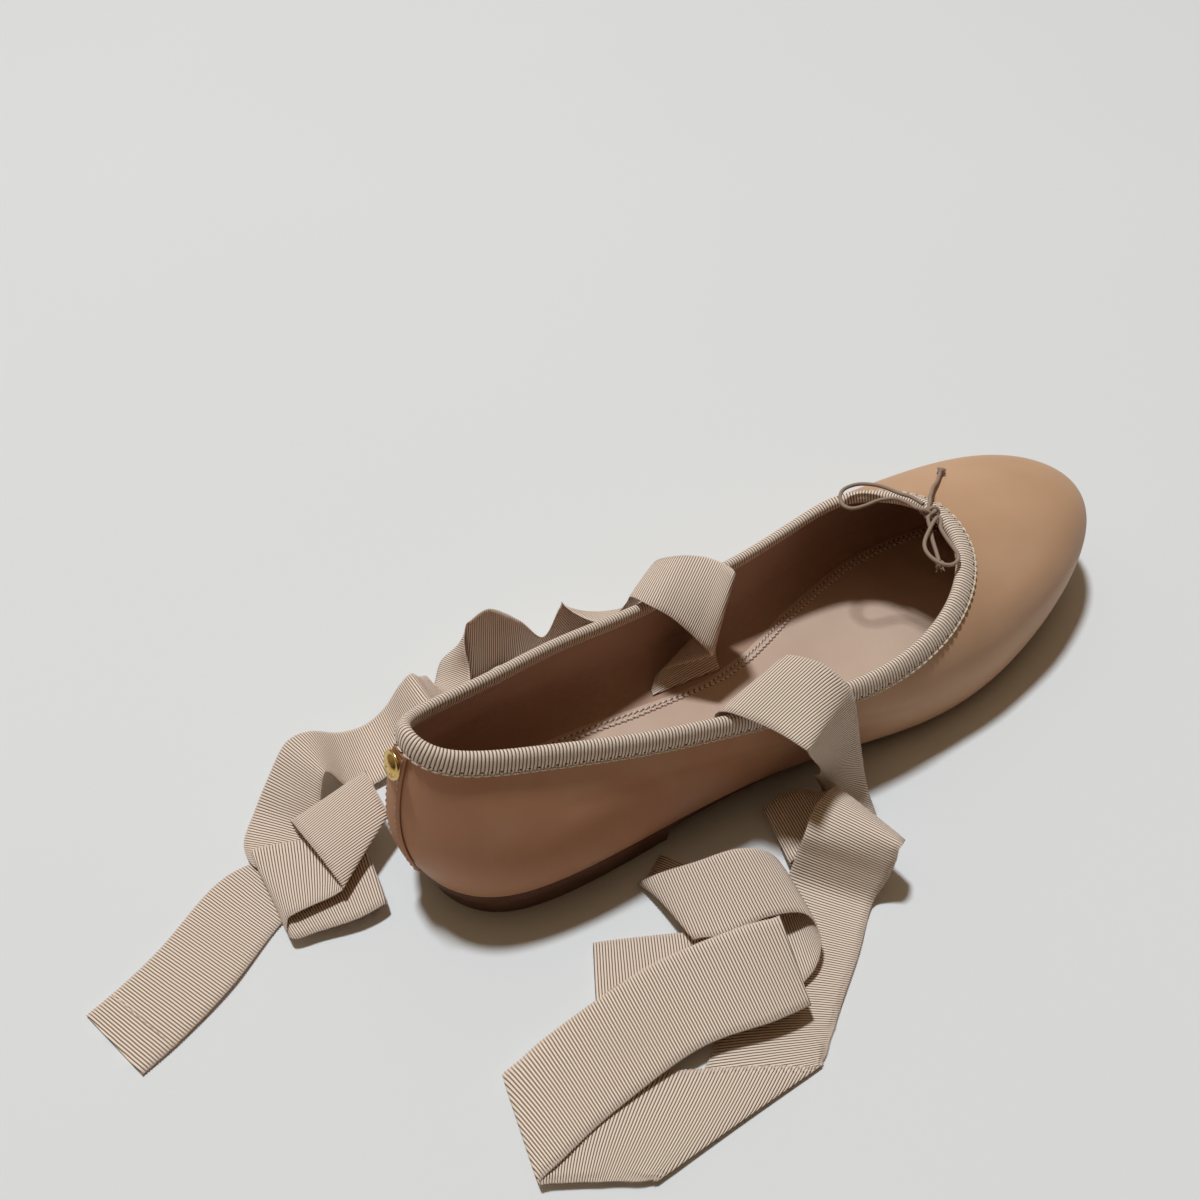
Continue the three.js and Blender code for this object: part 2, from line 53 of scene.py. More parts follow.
def toFrame(points):
    # shoe millimetres to frame metres
    return (np.asarray(points, float) - shoeMiddle) * 0.001


def addObject(name, data, axes=np.eye(3), place=(0, 0, 0)):
    # axes: the object's own x, y and z in the frame; place in metres
    made = bpy.data.objects.new(name, data)
    matrix = np.eye(4)
    matrix[:3, :3] = np.transpose(axes)
    matrix[:3, 3] = place
    made.matrix_world = Matrix(matrix.tolist())
    bpy.context.collection.objects.link(made)
    return made


# camera, at the photograph's own angle
view = {
    "target": (91.24, 52.57, 20.0),
    "azimuth": -30.26,
    "elevation": 41.33,
    "roll": -4.15,
    "distance": 377.89,
    "lens": 35.12,
}


def makeCamera():
    # stands back from the target along azimuth and elevation, then rolls about its own line of sight
    a, e, r = (radians(view[k]) for k in ("azimuth", "elevation", "roll"))
    back = np.array([sin(a) * cos(e), -cos(a) * cos(e), sin(e)])
    right = np.array([cos(a), sin(a), 0.0])
    up = np.cross(back, right)
    c, s = cos(r), sin(r)
    data = bpy.data.cameras.new("camera")
    data.sensor_width = 36
    data.lens = view["lens"]
    data.clip_start = 0.01
    axes = (c * right + s * up, c * up - s * right, back)
    place = toFrame(view["target"] + view["distance"] * back)
    bpy.context.scene.camera = addObject("camera", data, axes, place)


makeCamera()
print("camera set")


# meshes from whole arrays
def addPiece(name, points, faces, material, uv=None, faceSlots=None):
    # points in shoe millimetres; uv has a value for each corner of each face
    mesh = bpy.data.meshes.new(name)
    mesh.from_pydata(toFrame(points), [], faces)
    if uv is not None:
        mesh.uv_layers.new(name="UVMap").data.foreach_set("uv", np.asarray(uv, np.float32).ravel())
    for look in material if isinstance(material, list) else [material]:
        mesh.materials.append(look)
    if faceSlots is not None:
        mesh.polygons.foreach_set("material_index", np.asarray(faceSlots, np.int32))
    mesh.shade_smooth()
    mesh.update()
    piece = addObject(name, mesh)
    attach(piece, "root")
    return piece


def ringFaces(rows, closedPath):
    # rows[i, j]: closed profile of j points carried along i places; the last value says if faces look inwards
    count, around = rows.shape[:2]
    steps = count if closedPath else count - 1
    i, j = (k.ravel() for k in np.meshgrid(np.arange(steps), np.arange(around), indexing="ij"))
    inext, jnext = (i + 1) % count, (j + 1) % around
    quads = np.stack([i * around + j, inext * around + j, inext * around + jnext, i * around + jnext], 1)
    corners = rows.reshape(-1, 3)[quads]
    normal = np.cross(corners[:, 2] - corners[:, 0], corners[:, 3] - corners[:, 1])
    away = corners.mean(1) - rows.mean(1)[i]
    return quads, i, j, (normal * away).sum() < 0


def ringPiece(name, rows, closedPath, material, uv=None, slotOf=None):
    # uv[i, j] has one more row and column than there are steps, so that a seam closes
    count, around = rows.shape[:2]
    quads, i, j, flip = ringFaces(rows, closedPath)
    turn = slice(None, None, -1 if flip else 1)
    faces, faceUv, slots = quads[:, turn].tolist(), None, None
    if uv is not None:
        faceUv = np.stack([uv[i, j], uv[i + 1, j], uv[i + 1, j + 1], uv[i, j + 1]], 1)[:, turn].reshape(-1, 2)
    if slotOf is not None:
        slots = list(slotOf(j)) + [0] * (0 if closedPath else 2)
    if not closedPath:
        ring = np.arange(around)
        faces += [ring[::-1][turn].tolist(), (ring + (count - 1) * around)[turn].tolist()]
        if uv is not None:
            faceUv = np.concatenate([faceUv, uv[0, :around][::-1][turn], uv[count - 1, :around][turn]])
    return addPiece(name, rows.reshape(-1, 3), faces, material, faceUv, slots)


def catmullRom(rows, per):
    # uniform Catmull-Rom through rows of values, per places for each row
    rows = np.asarray(rows, float)
    padded = np.vstack([2 * rows[0] - rows[1], rows, 2 * rows[-1] - rows[-2]])
    t = (np.arange(per) / per)[None, :, None]
    a, b, c, d = (padded[k : len(rows) - 1 + k, None] for k in range(4))
    curve = 0.5 * (2 * b + (c - a) * t + (2 * a - 5 * b + 4 * c - d) * t**2 + (3 * b - a - 3 * c + d) * t**3)
    return np.vstack([curve.reshape(-1, rows.shape[1]), rows[-1:]])


def unit(vectors):
    return vectors / np.maximum(np.linalg.norm(vectors, axis=-1, keepdims=True), 1e-9)


def walk(points):
    # length walked along a line of points
    return np.concatenate([[0], np.cumsum(np.linalg.norm(np.diff(points, axis=0), axis=1))])


def resample(points, places, length=None):
    # points at given lengths along a line, or at given values of another run along it
    length = walk(points) if length is None else length
    return np.stack([np.interp(places, length, column) for column in points.T], 1)


stitchRing = np.array([  # along, radius, rise: a short thread that dips in at both ends
    (-0.5, 0.35, -0.6), (-0.3, 0.9, -0.1), (0.0, 1.0, 0.12), (0.3, 0.9, -0.1), (0.5, 0.35, -0.6),
])


def stitchRow(name, centres, along, normal, length, radius, look):
    # one six-sided thread carried to every centre, along its seam and out of its surface
    sides, n = 6, len(centres)
    angle = np.arange(sides) * 2 * pi / sides
    along, normal = (np.broadcast_to(unit(way), (n, 3)) for way in (along, normal))
    side = unit(np.cross(normal, along))
    up = np.cross(along, side)
    place, thick, rise = (stitchRing[:, k, None] for k in range(3))
    x = np.repeat(place * length, sides)
    y = (thick * radius * np.cos(angle)).ravel()
    z = (thick * radius * np.sin(angle) + rise * radius).ravel()
    points = sum(k[:, None] * way[:, None] for k, way in ((x, along), (y, side), (z, up))) + centres[:, None]
    quads = np.roll(ringFaces(points[0].reshape(-1, sides, 3), False)[0], -1, 1)
    ring = np.arange(sides)
    caps = np.stack([ring[::-1], len(x) - sides + ring])
    shift = np.arange(n)[:, None, None] * len(x)
    faces = (quads + shift).reshape(-1, 4).tolist() + (caps + shift).reshape(-1, sides).tolist()
    return addPiece(name, points.reshape(-1, 3), faces, look)


# materials
def newLook(name):
    look = bpy.data.materials.new(name)
    look.use_nodes = True
    tree = look.node_tree
    return look, tree, tree.nodes["Principled BSDF"]


def feed(tree, sockets, *values):
    # a number or a colour goes straight on its socket, another node's output is linked to it
    for socket, value in zip(sockets, values):
        if isinstance(value, bpy.types.NodeSocket):
            tree.links.new(value, socket)
        else:
            socket.default_value = (*value, 1) if isinstance(value, tuple) else value


def setSockets(tree, made, **values):
    feed(tree, [made.inputs[key.replace("_", " ")] for key in values], *values.values())


def node(tree, kind, **settings):
    # settings are the node's own, or else values for its sockets
    made = tree.nodes.new("ShaderNode" + kind)
    for key, value in settings.items():
        if hasattr(made, key):
            setattr(made, key, value)
        else:
            setSockets(tree, made, **{key: value})
    return made


def maths(tree, operation, *values):
    made = node(tree, "Math", operation=operation)
    feed(tree, made.inputs, *values)
    return made.outputs[0]


def ridges(tree, along, pitch):
    # |sin| of a length: a row of rounded ridges with sharp grooves between
    return maths(tree, "ABSOLUTE", maths(tree, "SINE", maths(tree, "MULTIPLY", along, pi / pitch)))


def ramp(tree, factor, stops):
    made = node(tree, "ValToRGB")
    feed(tree, made.inputs, factor)
    elements = made.color_ramp.elements
    while len(elements) < len(stops):
        elements.new(0.5)
    for element, (place, colour) in zip(elements, stops):
        element.position = place
        element.color = (*colour, 1)
    return made.outputs[0]


def mixColour(tree, factor, first, second, blend="MIX"):
    made = node(tree, "Mix", data_type="RGBA", blend_type=blend)
    feed(tree, [made.inputs[k] for k in (0, 6, 7)], factor, first, second)
    return made.outputs[2]


def objectPlace(tree):
    return node(tree, "TexCoord").outputs["Object"]


def partsOf(tree, place):
    return node(tree, "SeparateXYZ", Vector=place).outputs


def mapParts(tree):
    # across and along, from the piece's own map
    return partsOf(tree, node(tree, "UVMap", uv_map="UVMap").outputs[0])[:2]


def noise(tree, place, scale, detail):
    return node(tree, "TexNoise", Vector=place, Scale=scale, Detail=detail).outputs["Fac"]


def addBump(tree, shader, height, distance, strength, **onto):
    made = node(tree, "Bump", Distance=distance, Strength=strength, Height=height, **onto)
    setSockets(tree, shader, Normal=made.outputs[0])
    return made.outputs[0]


leather = {
    "light": (0.595, 0.36, 0.214),
    "deep": (0.52, 0.302, 0.173),
    # painted shade: the darker tone the quarters are pulled towards
    "shadedQuarter": (0.47, 0.225, 0.12),
    "vampFrom": 0.06,
    "fade": 5.0,
    "fadeMost": 0.45,
    "roughness": 0.46,
    "grain": 1500,
    "grainDepth": 0.000035,
    "mottle": 26,
}


def makeLeather(name, values):
    # two close browns in soft clouds, fine pebble grain, slightly uneven gloss, and painted shade darkening
    # the quarters towards the heel
    look, tree, shader = newLook(name)
    place = objectPlace(tree)
    clouds = noise(tree, place, values["mottle"], 3)
    tones = [(0.3, values["deep"]), (0.7, values["light"])]
    if "shadedQuarter" in values:
        # painted shade: the hide is darkened from the vamp back to the quarters, standing for the shade on
        # the shoe's sides
        tones.insert(0, (0.05, values["shadedQuarter"]))
        x = partsOf(tree, place)["X"]
        back = maths(tree, "MULTIPLY_ADD", x, values["fade"], -values["fade"] * values["vampFrom"])
        back = maths(tree, "MAXIMUM", maths(tree, "MINIMUM", back, 0.0), -values["fadeMost"])
        clouds = maths(tree, "ADD", clouds, back)
    gloss = maths(tree, "MULTIPLY_ADD", noise(tree, place, 90, 2), 0.12, values["roughness"] - 0.06)
    setSockets(tree, shader, Base_Color=ramp(tree, clouds, tones), Specular_IOR_Level=0.2, Roughness=gloss)
    cells = node(tree, "TexVoronoi", Vector=place, Scale=values["grain"])
    soft = addBump(tree, shader, noise(tree, place, 160, 3), 0.00012, 0.5)
    addBump(tree, shader, cells.outputs["Distance"], values["grainDepth"], 0.7, Normal=soft)
    return look


lining = {
    "light": (0.46, 0.282, 0.198),
    "deep": (0.395, 0.236, 0.162),
    "roughness": 0.55,
    "grain": 1100,
    "grainDepth": 0.00003,
    "mottle": 34,
}
sock = {
    **lining,
    "light": (0.6, 0.428, 0.32),
    "deep": (0.54, 0.376, 0.276),
    "roughness": 0.6,
    "mottle": 40,
}
soleLeather = {
    "light": (0.125, 0.043, 0.016),
    "deep": (0.068, 0.022, 0.009),
    "roughness": 0.5,
    "grain": 700,
    "grainDepth": 0.00004,
    "mottle": 60,
}
ribbonUnit = 25.0  # millimetres of ribbon in one unit of its map
grosgrain = {
    "light": (0.9, 0.712, 0.562),
    # painted shade: near-black colour in the grooves between ribs
    "grooveShade": (0.082, 0.047, 0.029),
    "edge": (0.82, 0.63, 0.5),
    "faded": (0.52, 0.39, 0.29),
    "pitch": 0.77,
    "threadPitch": 0.42,
    "wobble": 0.25,
    "relief": 0.00022,
    "roughness": 0.78,
}


def makeGrosgrain(name, values):
    # ribs across the ribbon: |sin| of the length along it, painted shade darkening the rib flanks and the
    # grooves between, with fine threads along it
    look, tree, shader = newLook(name)
    across, along = mapParts(tree)
    pitch = values["pitch"] / ribbonUnit
    wobble = maths(tree, "MULTIPLY", noise(tree, objectPlace(tree), 220, 2), values["wobble"] * pitch)
    rib = ridges(tree, maths(tree, "ADD", along, wobble), pitch)
    thread = ridges(tree, across, values["threadPitch"] / ribbonUnit)
    height = maths(tree, "ADD", maths(tree, "POWER", rib, 0.8), maths(tree, "MULTIPLY", thread, 0.07))
    # painted shade: the ribs' flanks darker and the grooves between them near black
    ribFlankShade = tuple(0.68 * c for c in values["light"])
    colour = ramp(tree, rib, [(0.24, values["grooveShade"]), (0.55, ribFlankShade), (0.8, values["light"])])
    faded = maths(tree, "MULTIPLY", noise(tree, objectPlace(tree), 45, 2), 0.1)
    colour = mixColour(tree, faded, colour, values["faded"])
    rim = maths(tree, "ABSOLUTE", maths(tree, "SUBTRACT", across, 0.5))
    rim = ramp(tree, rim, [(0.462, (0, 0, 0)), (0.484, (0.55, 0.55, 0.55))])
    colour = mixColour(tree, rim, colour, values["edge"])
    setSockets(tree, shader, Base_Color=colour, Roughness=values["roughness"], Specular_IOR_Level=0.25)
    setSockets(tree, shader, Sheen_Weight=0.12, Sheen_Roughness=0.5)
    addBump(tree, shader, height, values["relief"], 0.85)
    return look


elastic = {"light": (0.41, 0.285, 0.205), "strandGapShade": (0.18, 0.118, 0.082), "strands": 4, "pitch": 0.9}


def makeElastic(name, values):
    # braided cover: two crossing waves on the tube's own map, with painted shade where the strands part
    look, tree, shader = newLook(name)
    around, along = mapParts(tree)
    turn = maths(tree, "MULTIPLY", around, 2 * pi * values["strands"])
    run = maths(tree, "MULTIPLY", along, 2 * pi / values["pitch"])
    one = maths(tree, "SINE", maths(tree, "ADD", turn, run))
    two = maths(tree, "SINE", maths(tree, "SUBTRACT", turn, run))
    braid = maths(tree, "ABSOLUTE", maths(tree, "MULTIPLY", one, two))
    # painted shade: darker where the strands part
    colour = ramp(tree, braid, [(0.0, values["strandGapShade"]), (0.5, values["light"])])
    setSockets(tree, shader, Base_Color=colour, Roughness=0.7)
    addBump(tree, shader, braid, 0.00006, 0.6)
    return look


def makeThread(name, colour):
    # twisted thread: a fine slanting wave on the stitch's place, its darker bands painted shade between the
    # twists
    look, tree, shader = newLook(name)
    twist = node(tree, "TexWave", Vector=objectPlace(tree), Scale=420, Distortion=1.0)
    shade = ramp(tree, twist.outputs["Fac"], [(0.2, tuple(0.7 * c for c in colour)), (0.8, colour)])
    setSockets(tree, shader, Base_Color=shade, Roughness=0.6)
    return look


stackedHeel = {**soleLeather, "lift": 0.0026, "roughness": 0.46}


def makeHeelLook(name, values):
    # stacked lifts: dark lines at even heights over the sole's own brown
    look, tree, shader = newLook(name)
    place = objectPlace(tree)
    lift = ridges(tree, partsOf(tree, place)["Z"], values["lift"])
    colour = ramp(tree, noise(tree, place, 140, 3), [(0.3, values["deep"]), (0.7, values["light"])])
    line = ramp(tree, lift, [(0.0, (0.45, 0.45, 0.45)), (0.12, (1, 1, 1))])
    colour = mixColour(tree, 1.0, colour, line, "MULTIPLY")
    setSockets(tree, shader, Base_Color=colour, Roughness=values["roughness"])
    addBump(tree, shader, lift, 0.00006, 0.4)
    return look


gilt = {"light": (0.78, 0.56, 0.22), "deep": (0.62, 0.41, 0.13), "roughness": 0.24}


def makeGilt(name, values):
    # polished metal in two close golds
    look, tree, shader = newLook(name)
    spots = noise(tree, objectPlace(tree), 900, 3)
    shade = ramp(tree, spots, [(0.3, values["deep"]), (0.7, values["light"])])
    setSockets(tree, shader, Base_Color=shade, Metallic=1, Roughness=values["roughness"])
    return look


leatherLook = makeLeather("nude_calf", leather)
liningLook = makeLeather("lining_leather", lining)
sockLook = makeLeather("sock_leather", sock)
soleLook = makeLeather("burnished_sole", soleLeather)
ribbonLook = makeGrosgrain("grosgrain", grosgrain)
elasticLook = makeElastic("elastic_cord", elastic)
threadLook = makeThread("pale_thread", (0.8, 0.65, 0.47))
sockThreadLook = makeThread("sock_thread", (0.8, 0.61, 0.49))
# painted shade: dark dots standing for the shade in the sock's needle holes
sockHoleShadeLook = makeThread("sock_needle_hole_shade", (0.2, 0.115, 0.08))
stripThreadLook = makeThread("strip_thread", (0.62, 0.43, 0.29))
# painted shade: near-black dots standing for the shade in needle holes
holeShadeLook = makeThread("needle_hole_shade", (0.075, 0.045, 0.03))
heelLook = makeHeelLook("stacked_heel", stackedHeel)
giltLook = makeGilt("gilt", gilt)
print("materials made")

# ankle ribbons
ribbon = {
    "width": 25.0,
    "thickness": 0.45,
    "step": 0.32,
    "columns": 12,
    "camber": 0.22,
    "scallop": 0.2,
    "hem": 10.0,
    "hemSeam": 8.6,
    "hemStitches": 10,
    "hemThread": (1.7, 0.26),
}
# x, y, z of the middle, yaw and bank of the line across, span along that line
lateralTie = [
    (95, -30, 20, -6, 0, 25), (94.5, -26.2, 31, -5, 4, 25), (91.5, -24.2, 41.6, -3, 16, 25),
    (92.3, -25.3, 45.4, 10, 8.2, 24.8), (97.7, -34.9, 45.4, 17.8, 10.2, 24.8),
    (100.5, -42.5, 43.2, 24.2, 5.7, 24.8), (102.3, -44.1, 39.2, 20.6, -1.4, 24.8),
    (105.4, -44.3, 26.9, 12.3, -26.7, 24.8), (109.3, -44.5, 11.6, -11.2, -43, 23),
    (104.8, -49.7, 3.2, -104, 5.6, 24.6), (98, -44.4, 1, -105, 0, 23), (89.9, -42.9, 1, -107.3, 0, 20.9),
    (86.5, -43, 3.2, -107.9, 0, 20), (89.7, -44, 5.5, -105.6, -0.6, 20),
    (97.6, -47.4, 6.8, -100.7, 1, 23.6), (103, -54.5, 9.5, -92, 3, 25), (106, -57.4, 14, -88, 4, 25),
    (102, -59.8, 17.4, -82, 3, 25), (97.4, -61.3, 17.3, -68.6, 1.4, 24.6),
    (94, -63.3, 14.2, -57, -0.9, 24.3), (91.5, -63.6, 8, -55.4, -1.9, 24.2),
    (87.8, -64.2, 2.2, -53.9, -0.5, 23.2), (83.3, -66.4, 0.8, -53.3, 0, 23.8),
    (74, -72.4, 0.8, -58, 0, 25), (58, -82.4, 0.8, -58, 0, 25), (51, -86.8, 0.8, -36, 0, 27),
    (43.9, -91.2, 0.8, -19.5, 0, 32), (34.1, -97.4, 0.9, -4.3, 0, 42), (29.9, -99.8, 1.4, 0, 0, 46),
    (25.4, -97.2, 2, 4.4, 0, 42), (15, -90.7, 2.1, 19.5, 0, 32), (7.6, -86, 2.2, 36, 0, 27),
    (0.2, -81.4, 2.3, 58, 0, 25), (-9.2, -75.5, 2.4, 72, 0, 25.8), (-13.3, -73, 2.9, 78, 0, 26.6),
    (-7.5, -72.1, 3.5, 81, 0, 26), (5.9, -70.2, 4, 89.4, 1.9, 24.6), (31.5, -70.4, 7, 87.2, 7.8, 23.5),
    (52.2, -75.9, 9.6, 76.9, 13.5, 24), (60.8, -78.3, 10, 73.6, 17.5, 22.6),
    (62.8, -78.2, 9.2, 72.9, 18, 22), (58.7, -75.8, 5.3, 82.3, 7.8, 18.8),
    (45, -66.7, 3.4, 60.1, 0.9, 24.8), (27, -56.3, 2.7, 60, 0.5, 24.9), (20.5, -52.5, 1.7, 60, 0, 25),
    (27, -56, 0.8, 60, 0, 25), (45, -64.5, 1.6, 62, 0, 25), (60, -70.5, 2.3, 65, 0, 24),
    (70.5, -71.5, 3.6, 71, 0, 20), (75.7, -67.6, 6.9, 77, 3.4, 16.9),
    (75.2, -60.9, 10.8, 78.4, 7.4, 18.4), (67.2, -56.4, 12.6, 74.2, 10.3, 20),
    (56.9, -52.7, 10.3, 75.8, 4.6, 22.2), (50.1, -48.7, 8, 82.6, -1, 22.6),
    (47.2, -46.3, 5.4, 89, -4.9, 23.4), (50, -44.8, 3.3, 104, -11, 25), (56.5, -43, 1.8, 119, -6, 25),
    (63.5, -39.4, 1.2, 120, -2, 25),
]
medialTie = [
    (97, 13.2, 11.4, -2, -6, 25), (98.5, 16.6, 13.2, 2, -1, 25), (103.5, 20.6, 18.8, 11, 15, 25),
    (110.4, 15.6, 27.8, 34.2, 29.1, 23.8), (107.7, 9.5, 36.6, 29.1, 46.9, 24.9),
    (106.2, 15.1, 39.1, 30.8, 25.2, 24.8), (103.1, 20.8, 41.5, 31.7, 10, 24.8),
    (98.7, 26, 42.8, 33.6, -0.9, 24.8), (95.8, 33, 40.2, 38.3, -13.1, 24.8),
    (96, 35.4, 34.9, 35.5, -17.1, 25.2), (95.4, 38.4, 28.5, 31.3, -18.1, 25.1),
    (93.5, 43, 21.1, 21.6, -19.1, 25), (88, 54, 14.8, 20, -45, 33), (77.1, 51.8, 14, 31.8, -80, 25.2),
    (69.3, 54.5, 10.2, 72.6, -58.3, 21.9), (63.6, 57.3, 12.4, 77.1, -81.7, 23.7),
    (57.8, 63.9, 13.4, 23.7, -88.7, 25.3), (48.5, 63.5, 13.1, 169.5, -83.5, 24.7),
    (48.2, 68.3, 14, 82.5, -56.6, 22.7), (44.3, 67.8, 10, 95.4, -42.3, 23.7),
    (39.9, 62, 5.9, 118.1, -32.9, 18.6), (34, 55, 6, 90, 4, 25), (30, 52.5, 11, 88, 0, 25),
    (26.5, 51, 15, 85, 0, 25), (21.5, 51.5, 12, 82, 0, 25), (14.5, 53, 4.6, 76, 0, 25),
    (6, 52.5, 2.2, 72, 0, 25), (-2, 52, 5.5, 74, 0, 23), (-8, 53, 12, 86, 0, 19),
    (-13, 52, 13, 104, 0, 19), (-19.5, 47, 8, 118, 0, 20), (-24.5, 41.5, 3.4, 126, 0, 23),
    (-28.5, 34.5, 1.9, 138, 0, 25), (-26, 28.5, 2.5, 162, 0, 25), (-18, 26.5, 3, -180, 0, 25),
    (-12.5, 31.5, 5, -170, 0, 25), (-12, 36, 9, -166, 0, 26), (-12.4, 35.1, 12.5, -172.9, -4.7, 24.4),
    (-11.8, 24.7, 12.8, -158, -2.9, 24.1), (-11.3, 17.2, 11.5, -148.6, -3.3, 24.6),
    (-11.2, 13.7, 9.9, -145.8, -3.3, 24.6), (-14.5, 14.7, 8.2, -138.5, -2.2, 23.3),
    (-24.4, 17.6, 7.5, -116.8, -1.6, 22), (-33.4, 20.8, 7, -96.9, -0.9, 25),
    (-37.3, 21.9, 5.7, -90.2, -1.3, 27), (-37.3, 16.3, 4.1, -94.2, -2.3, 24.7),
    (-30, 14.2, 3.9, -94.6, -1.4, 24.8), (-19.2, 11.3, 4.6, -98.1, -0.9, 24.9),
    (-11.7, 10.8, 4.4, -98.2, 0, 23.8), (-13.3, 12.6, 1.8, -96.2, -0.2, 24.1),
    (-24, 15.6, 0.7, -90, 0, 25), (-33.5, 23.5, 0.7, -72, 0, 25), (-44, 23.5, 0.7, -62, 0, 25),
    (-62, 12.6, 1.2, -60, 0, 25), (-76, 6.6, 1, -68, 0, 25), (-86.5, 3.4, 0.7, -73, 0, 25),
]


def tieSurface(rows):
    # rows carried by Catmull-Rom, then spaced evenly along the mean of the two selvedges
    rows = np.array(rows, float)
    yaw, bank = np.radians(rows[:, 3]), np.radians(rows[:, 4])
    across = np.stack([np.cos(yaw) * np.cos(bank), np.sin(yaw) * np.cos(bank), np.sin(bank)], 1)
    dense = catmullRom(np.hstack([rows[:, :3], across, rows[:, 5:6]]), 24)
    half = unit(dense[:, 3:6]) * dense[:, 6:7] / 2
    edges = [dense[:, :3] - half, dense[:, :3] + half]
    runs = [walk(edge) for edge in edges]
    mean = (runs[0] + runs[1]) / 2
    places = np.linspace(0, mean[-1], int(mean[-1] / ribbon["step"]))
    # one selvedge runs ahead of the other at a slanting fold; what slowly builds up is taken out
    ahead = np.interp(places, mean, runs[1] - runs[0])
    reach = int(70 / ribbon["step"])
    window = np.hanning(2 * reach + 1)
    slow = np.convolve(np.pad(ahead, reach, mode="edge"), window / window.sum(), mode="valid")
    return *(resample(edge, places, mean) for edge in edges), places, ahead - slow


def makeTie(name, rows, nodeName):
    # a thin flat profile between the selvedges, slightly waved, with a picot at each rib
    sideA, sideB, places, ahead = tieSurface(rows)
    middle = (sideA + sideB) / 2
    line = sideB - sideA
    normal = unit(np.cross(np.gradient(middle, axis=0), line))
    t = np.linspace(-0.5, 0.5, ribbon["columns"])
    edgeRun = 2 * pi * (places[:, None] + t[[0, -1]] * ahead[:, None]) / grosgrain["pitch"]
    scallop = ribbon["scallop"] * np.cos(edgeRun) / ribbon["width"]
    share = np.repeat(t[None], len(places), 0)
    share[:, [0, -1]] += scallop * [-1, 1]
    wave = ribbon["camber"] * np.sin(places / 17.0 + 0.8 * np.sin(places / 41.0))
    lift = wave[:, None] * (1 - 4 * t**2)
    sheet = middle[:, None] + share[..., None] * line[:, None] + lift[..., None] * normal[:, None]
    # hem: the last stretch is doubled over
    doubled = 1 + 0.9 * np.clip((places - places[-1] + ribbon["hem"]) / 0.6, 0, 1)
    thick = 0.5 * ribbon["thickness"] * doubled[:, None] * np.where(abs(t) == 0.5, 0.55, 1.0)
    half = thick[..., None] * normal[:, None]
    profile = np.concatenate([sheet + half, (sheet - half)[:, ::-1]], 1)
    along = (places[:, None] + t * ahead[:, None]) / ribbonUnit
    frontUv = np.stack([np.broadcast_to(t + 0.5, along.shape), along], -1)
    uv = np.concatenate([frontUv, frontUv[:, ::-1], frontUv[:, :1]], 1)
    piece = ringPiece(name, profile, False, ribbonLook, uv)
    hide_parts(nodeName)
    # hem stitches across the ribbon
    k = int(np.searchsorted(places, places[-1] - ribbon["hemSeam"]))
    spots = np.linspace(-0.46, 0.46, ribbon["hemStitches"])
    upwards = normal[k] * np.sign(normal[k, 2])
    seam = resample(sheet[k], spots, t) + ribbon["thickness"] * upwards
    hem = stitchRow(name + "_hem", seam, line[k], upwards, *ribbon["hemThread"], threadLook)


makeTie("ribbon_lateral", lateralTie, "tie_lateral")
makeTie("ribbon_medial", medialTie, "tie_medial")
print("ribbons laid")

# drawstring bow
bow = {
    "diameter": 1.2,
    "sides": 12,
    "step": 0.45,
    "knotSides": 10,
    "knotSize": (5.8, 2.6, 2.1),
    "knotRadius": 0.62,
    "endSize": (2.0, 2.0, 1.1),
    "endRadius": 0.55,
}
medialCord = [
    (176.8, 0.4, 50.9), (176.8, 5.6, 50.6), (175.8, 9.3, 50.2), (174.4, 16.5, 49.5),
    (171.1, 21.9, 48.6), (166.7, 23.8, 47.7), (163.4, 22.3, 47.1), (161.2, 18.5, 46.9),
    (161.9, 15.2, 47.2), (165, 13.3, 47.9), (170.1, 11.8, 48.8), (173.6, 8.9, 49.4),
    (174.6, 4.5, 49.9), (174.6, 0.9, 50.2), (176.2, -1.6, 50.4), (178.6, -0.4, 51),
    (181.2, 2, 50.8), (184.6, 4.6, 49.2), (189.8, 8.6, 46.8), (195, 11.8, 44.8), (201.6, 16.4, 43.1),
]
lateralCord = [
    (176.2, -6, 50.2), (173.7, -7, 50), (171.1, -8.3, 49.5), (166.9, -10.7, 48.8),
    (164.8, -12.9, 48.2), (163.9, -15.9, 47.6), (164.4, -19.5, 47.1), (166.2, -21.7, 46.9),
    (169, -21.8, 46.9), (171.1, -20.1, 47.2), (172, -17.1, 47.8), (173.2, -12.9, 48.4),
    (175, -9, 48.6), (177.6, -6.4, 49), (176.8, -4.2, 49.2), (174.6, -4, 49.6),
    (172.6, -7.2, 48.2), (170.4, -10.4, 47.3), (168.2, -14.1, 46.6), (166.3, -17.5, 45.6),
]


def roundPiece(name, path, tangent, side, radius, sides, closed):
    # a circle at each place: cosine times one way across, sine times the other; mapped round and along
    angle = (np.arange(sides) * 2 * pi / sides)[None, :, None]
    around = np.cos(angle) * side[:, None] + np.sin(angle) * np.cross(tangent, side)[:, None]
    rows = path[:, None] + np.broadcast_to(radius, len(path))[:, None, None] * around
    run = walk(np.vstack([path, path[:1]]) if closed else path)
    uv = np.stack(np.meshgrid(np.arange(sides + 1) / sides, run), -1)
    return ringPiece(name, rows, closed, elasticLook, uv)


def tubePiece(name, points, radius, step=bow["step"], sides=bow["sides"]):
    # a smooth run of points, on frames that turn as little as they can
    fine = catmullRom(points, 16)
    length = walk(fine)[-1]
    path = resample(fine, np.linspace(0, length, max(8, int(length / step))))
    tangent = unit(np.gradient(path, axis=0))
    frames = [unit(np.cross(tangent[0], [0.3, 0.2, 1.0]))]
    for here in tangent[1:]:
        frames.append(unit(frames[-1] - here * (frames[-1] @ here)))
    return roundPiece(name, path, tangent, np.array(frames), radius, sides, False), path, length


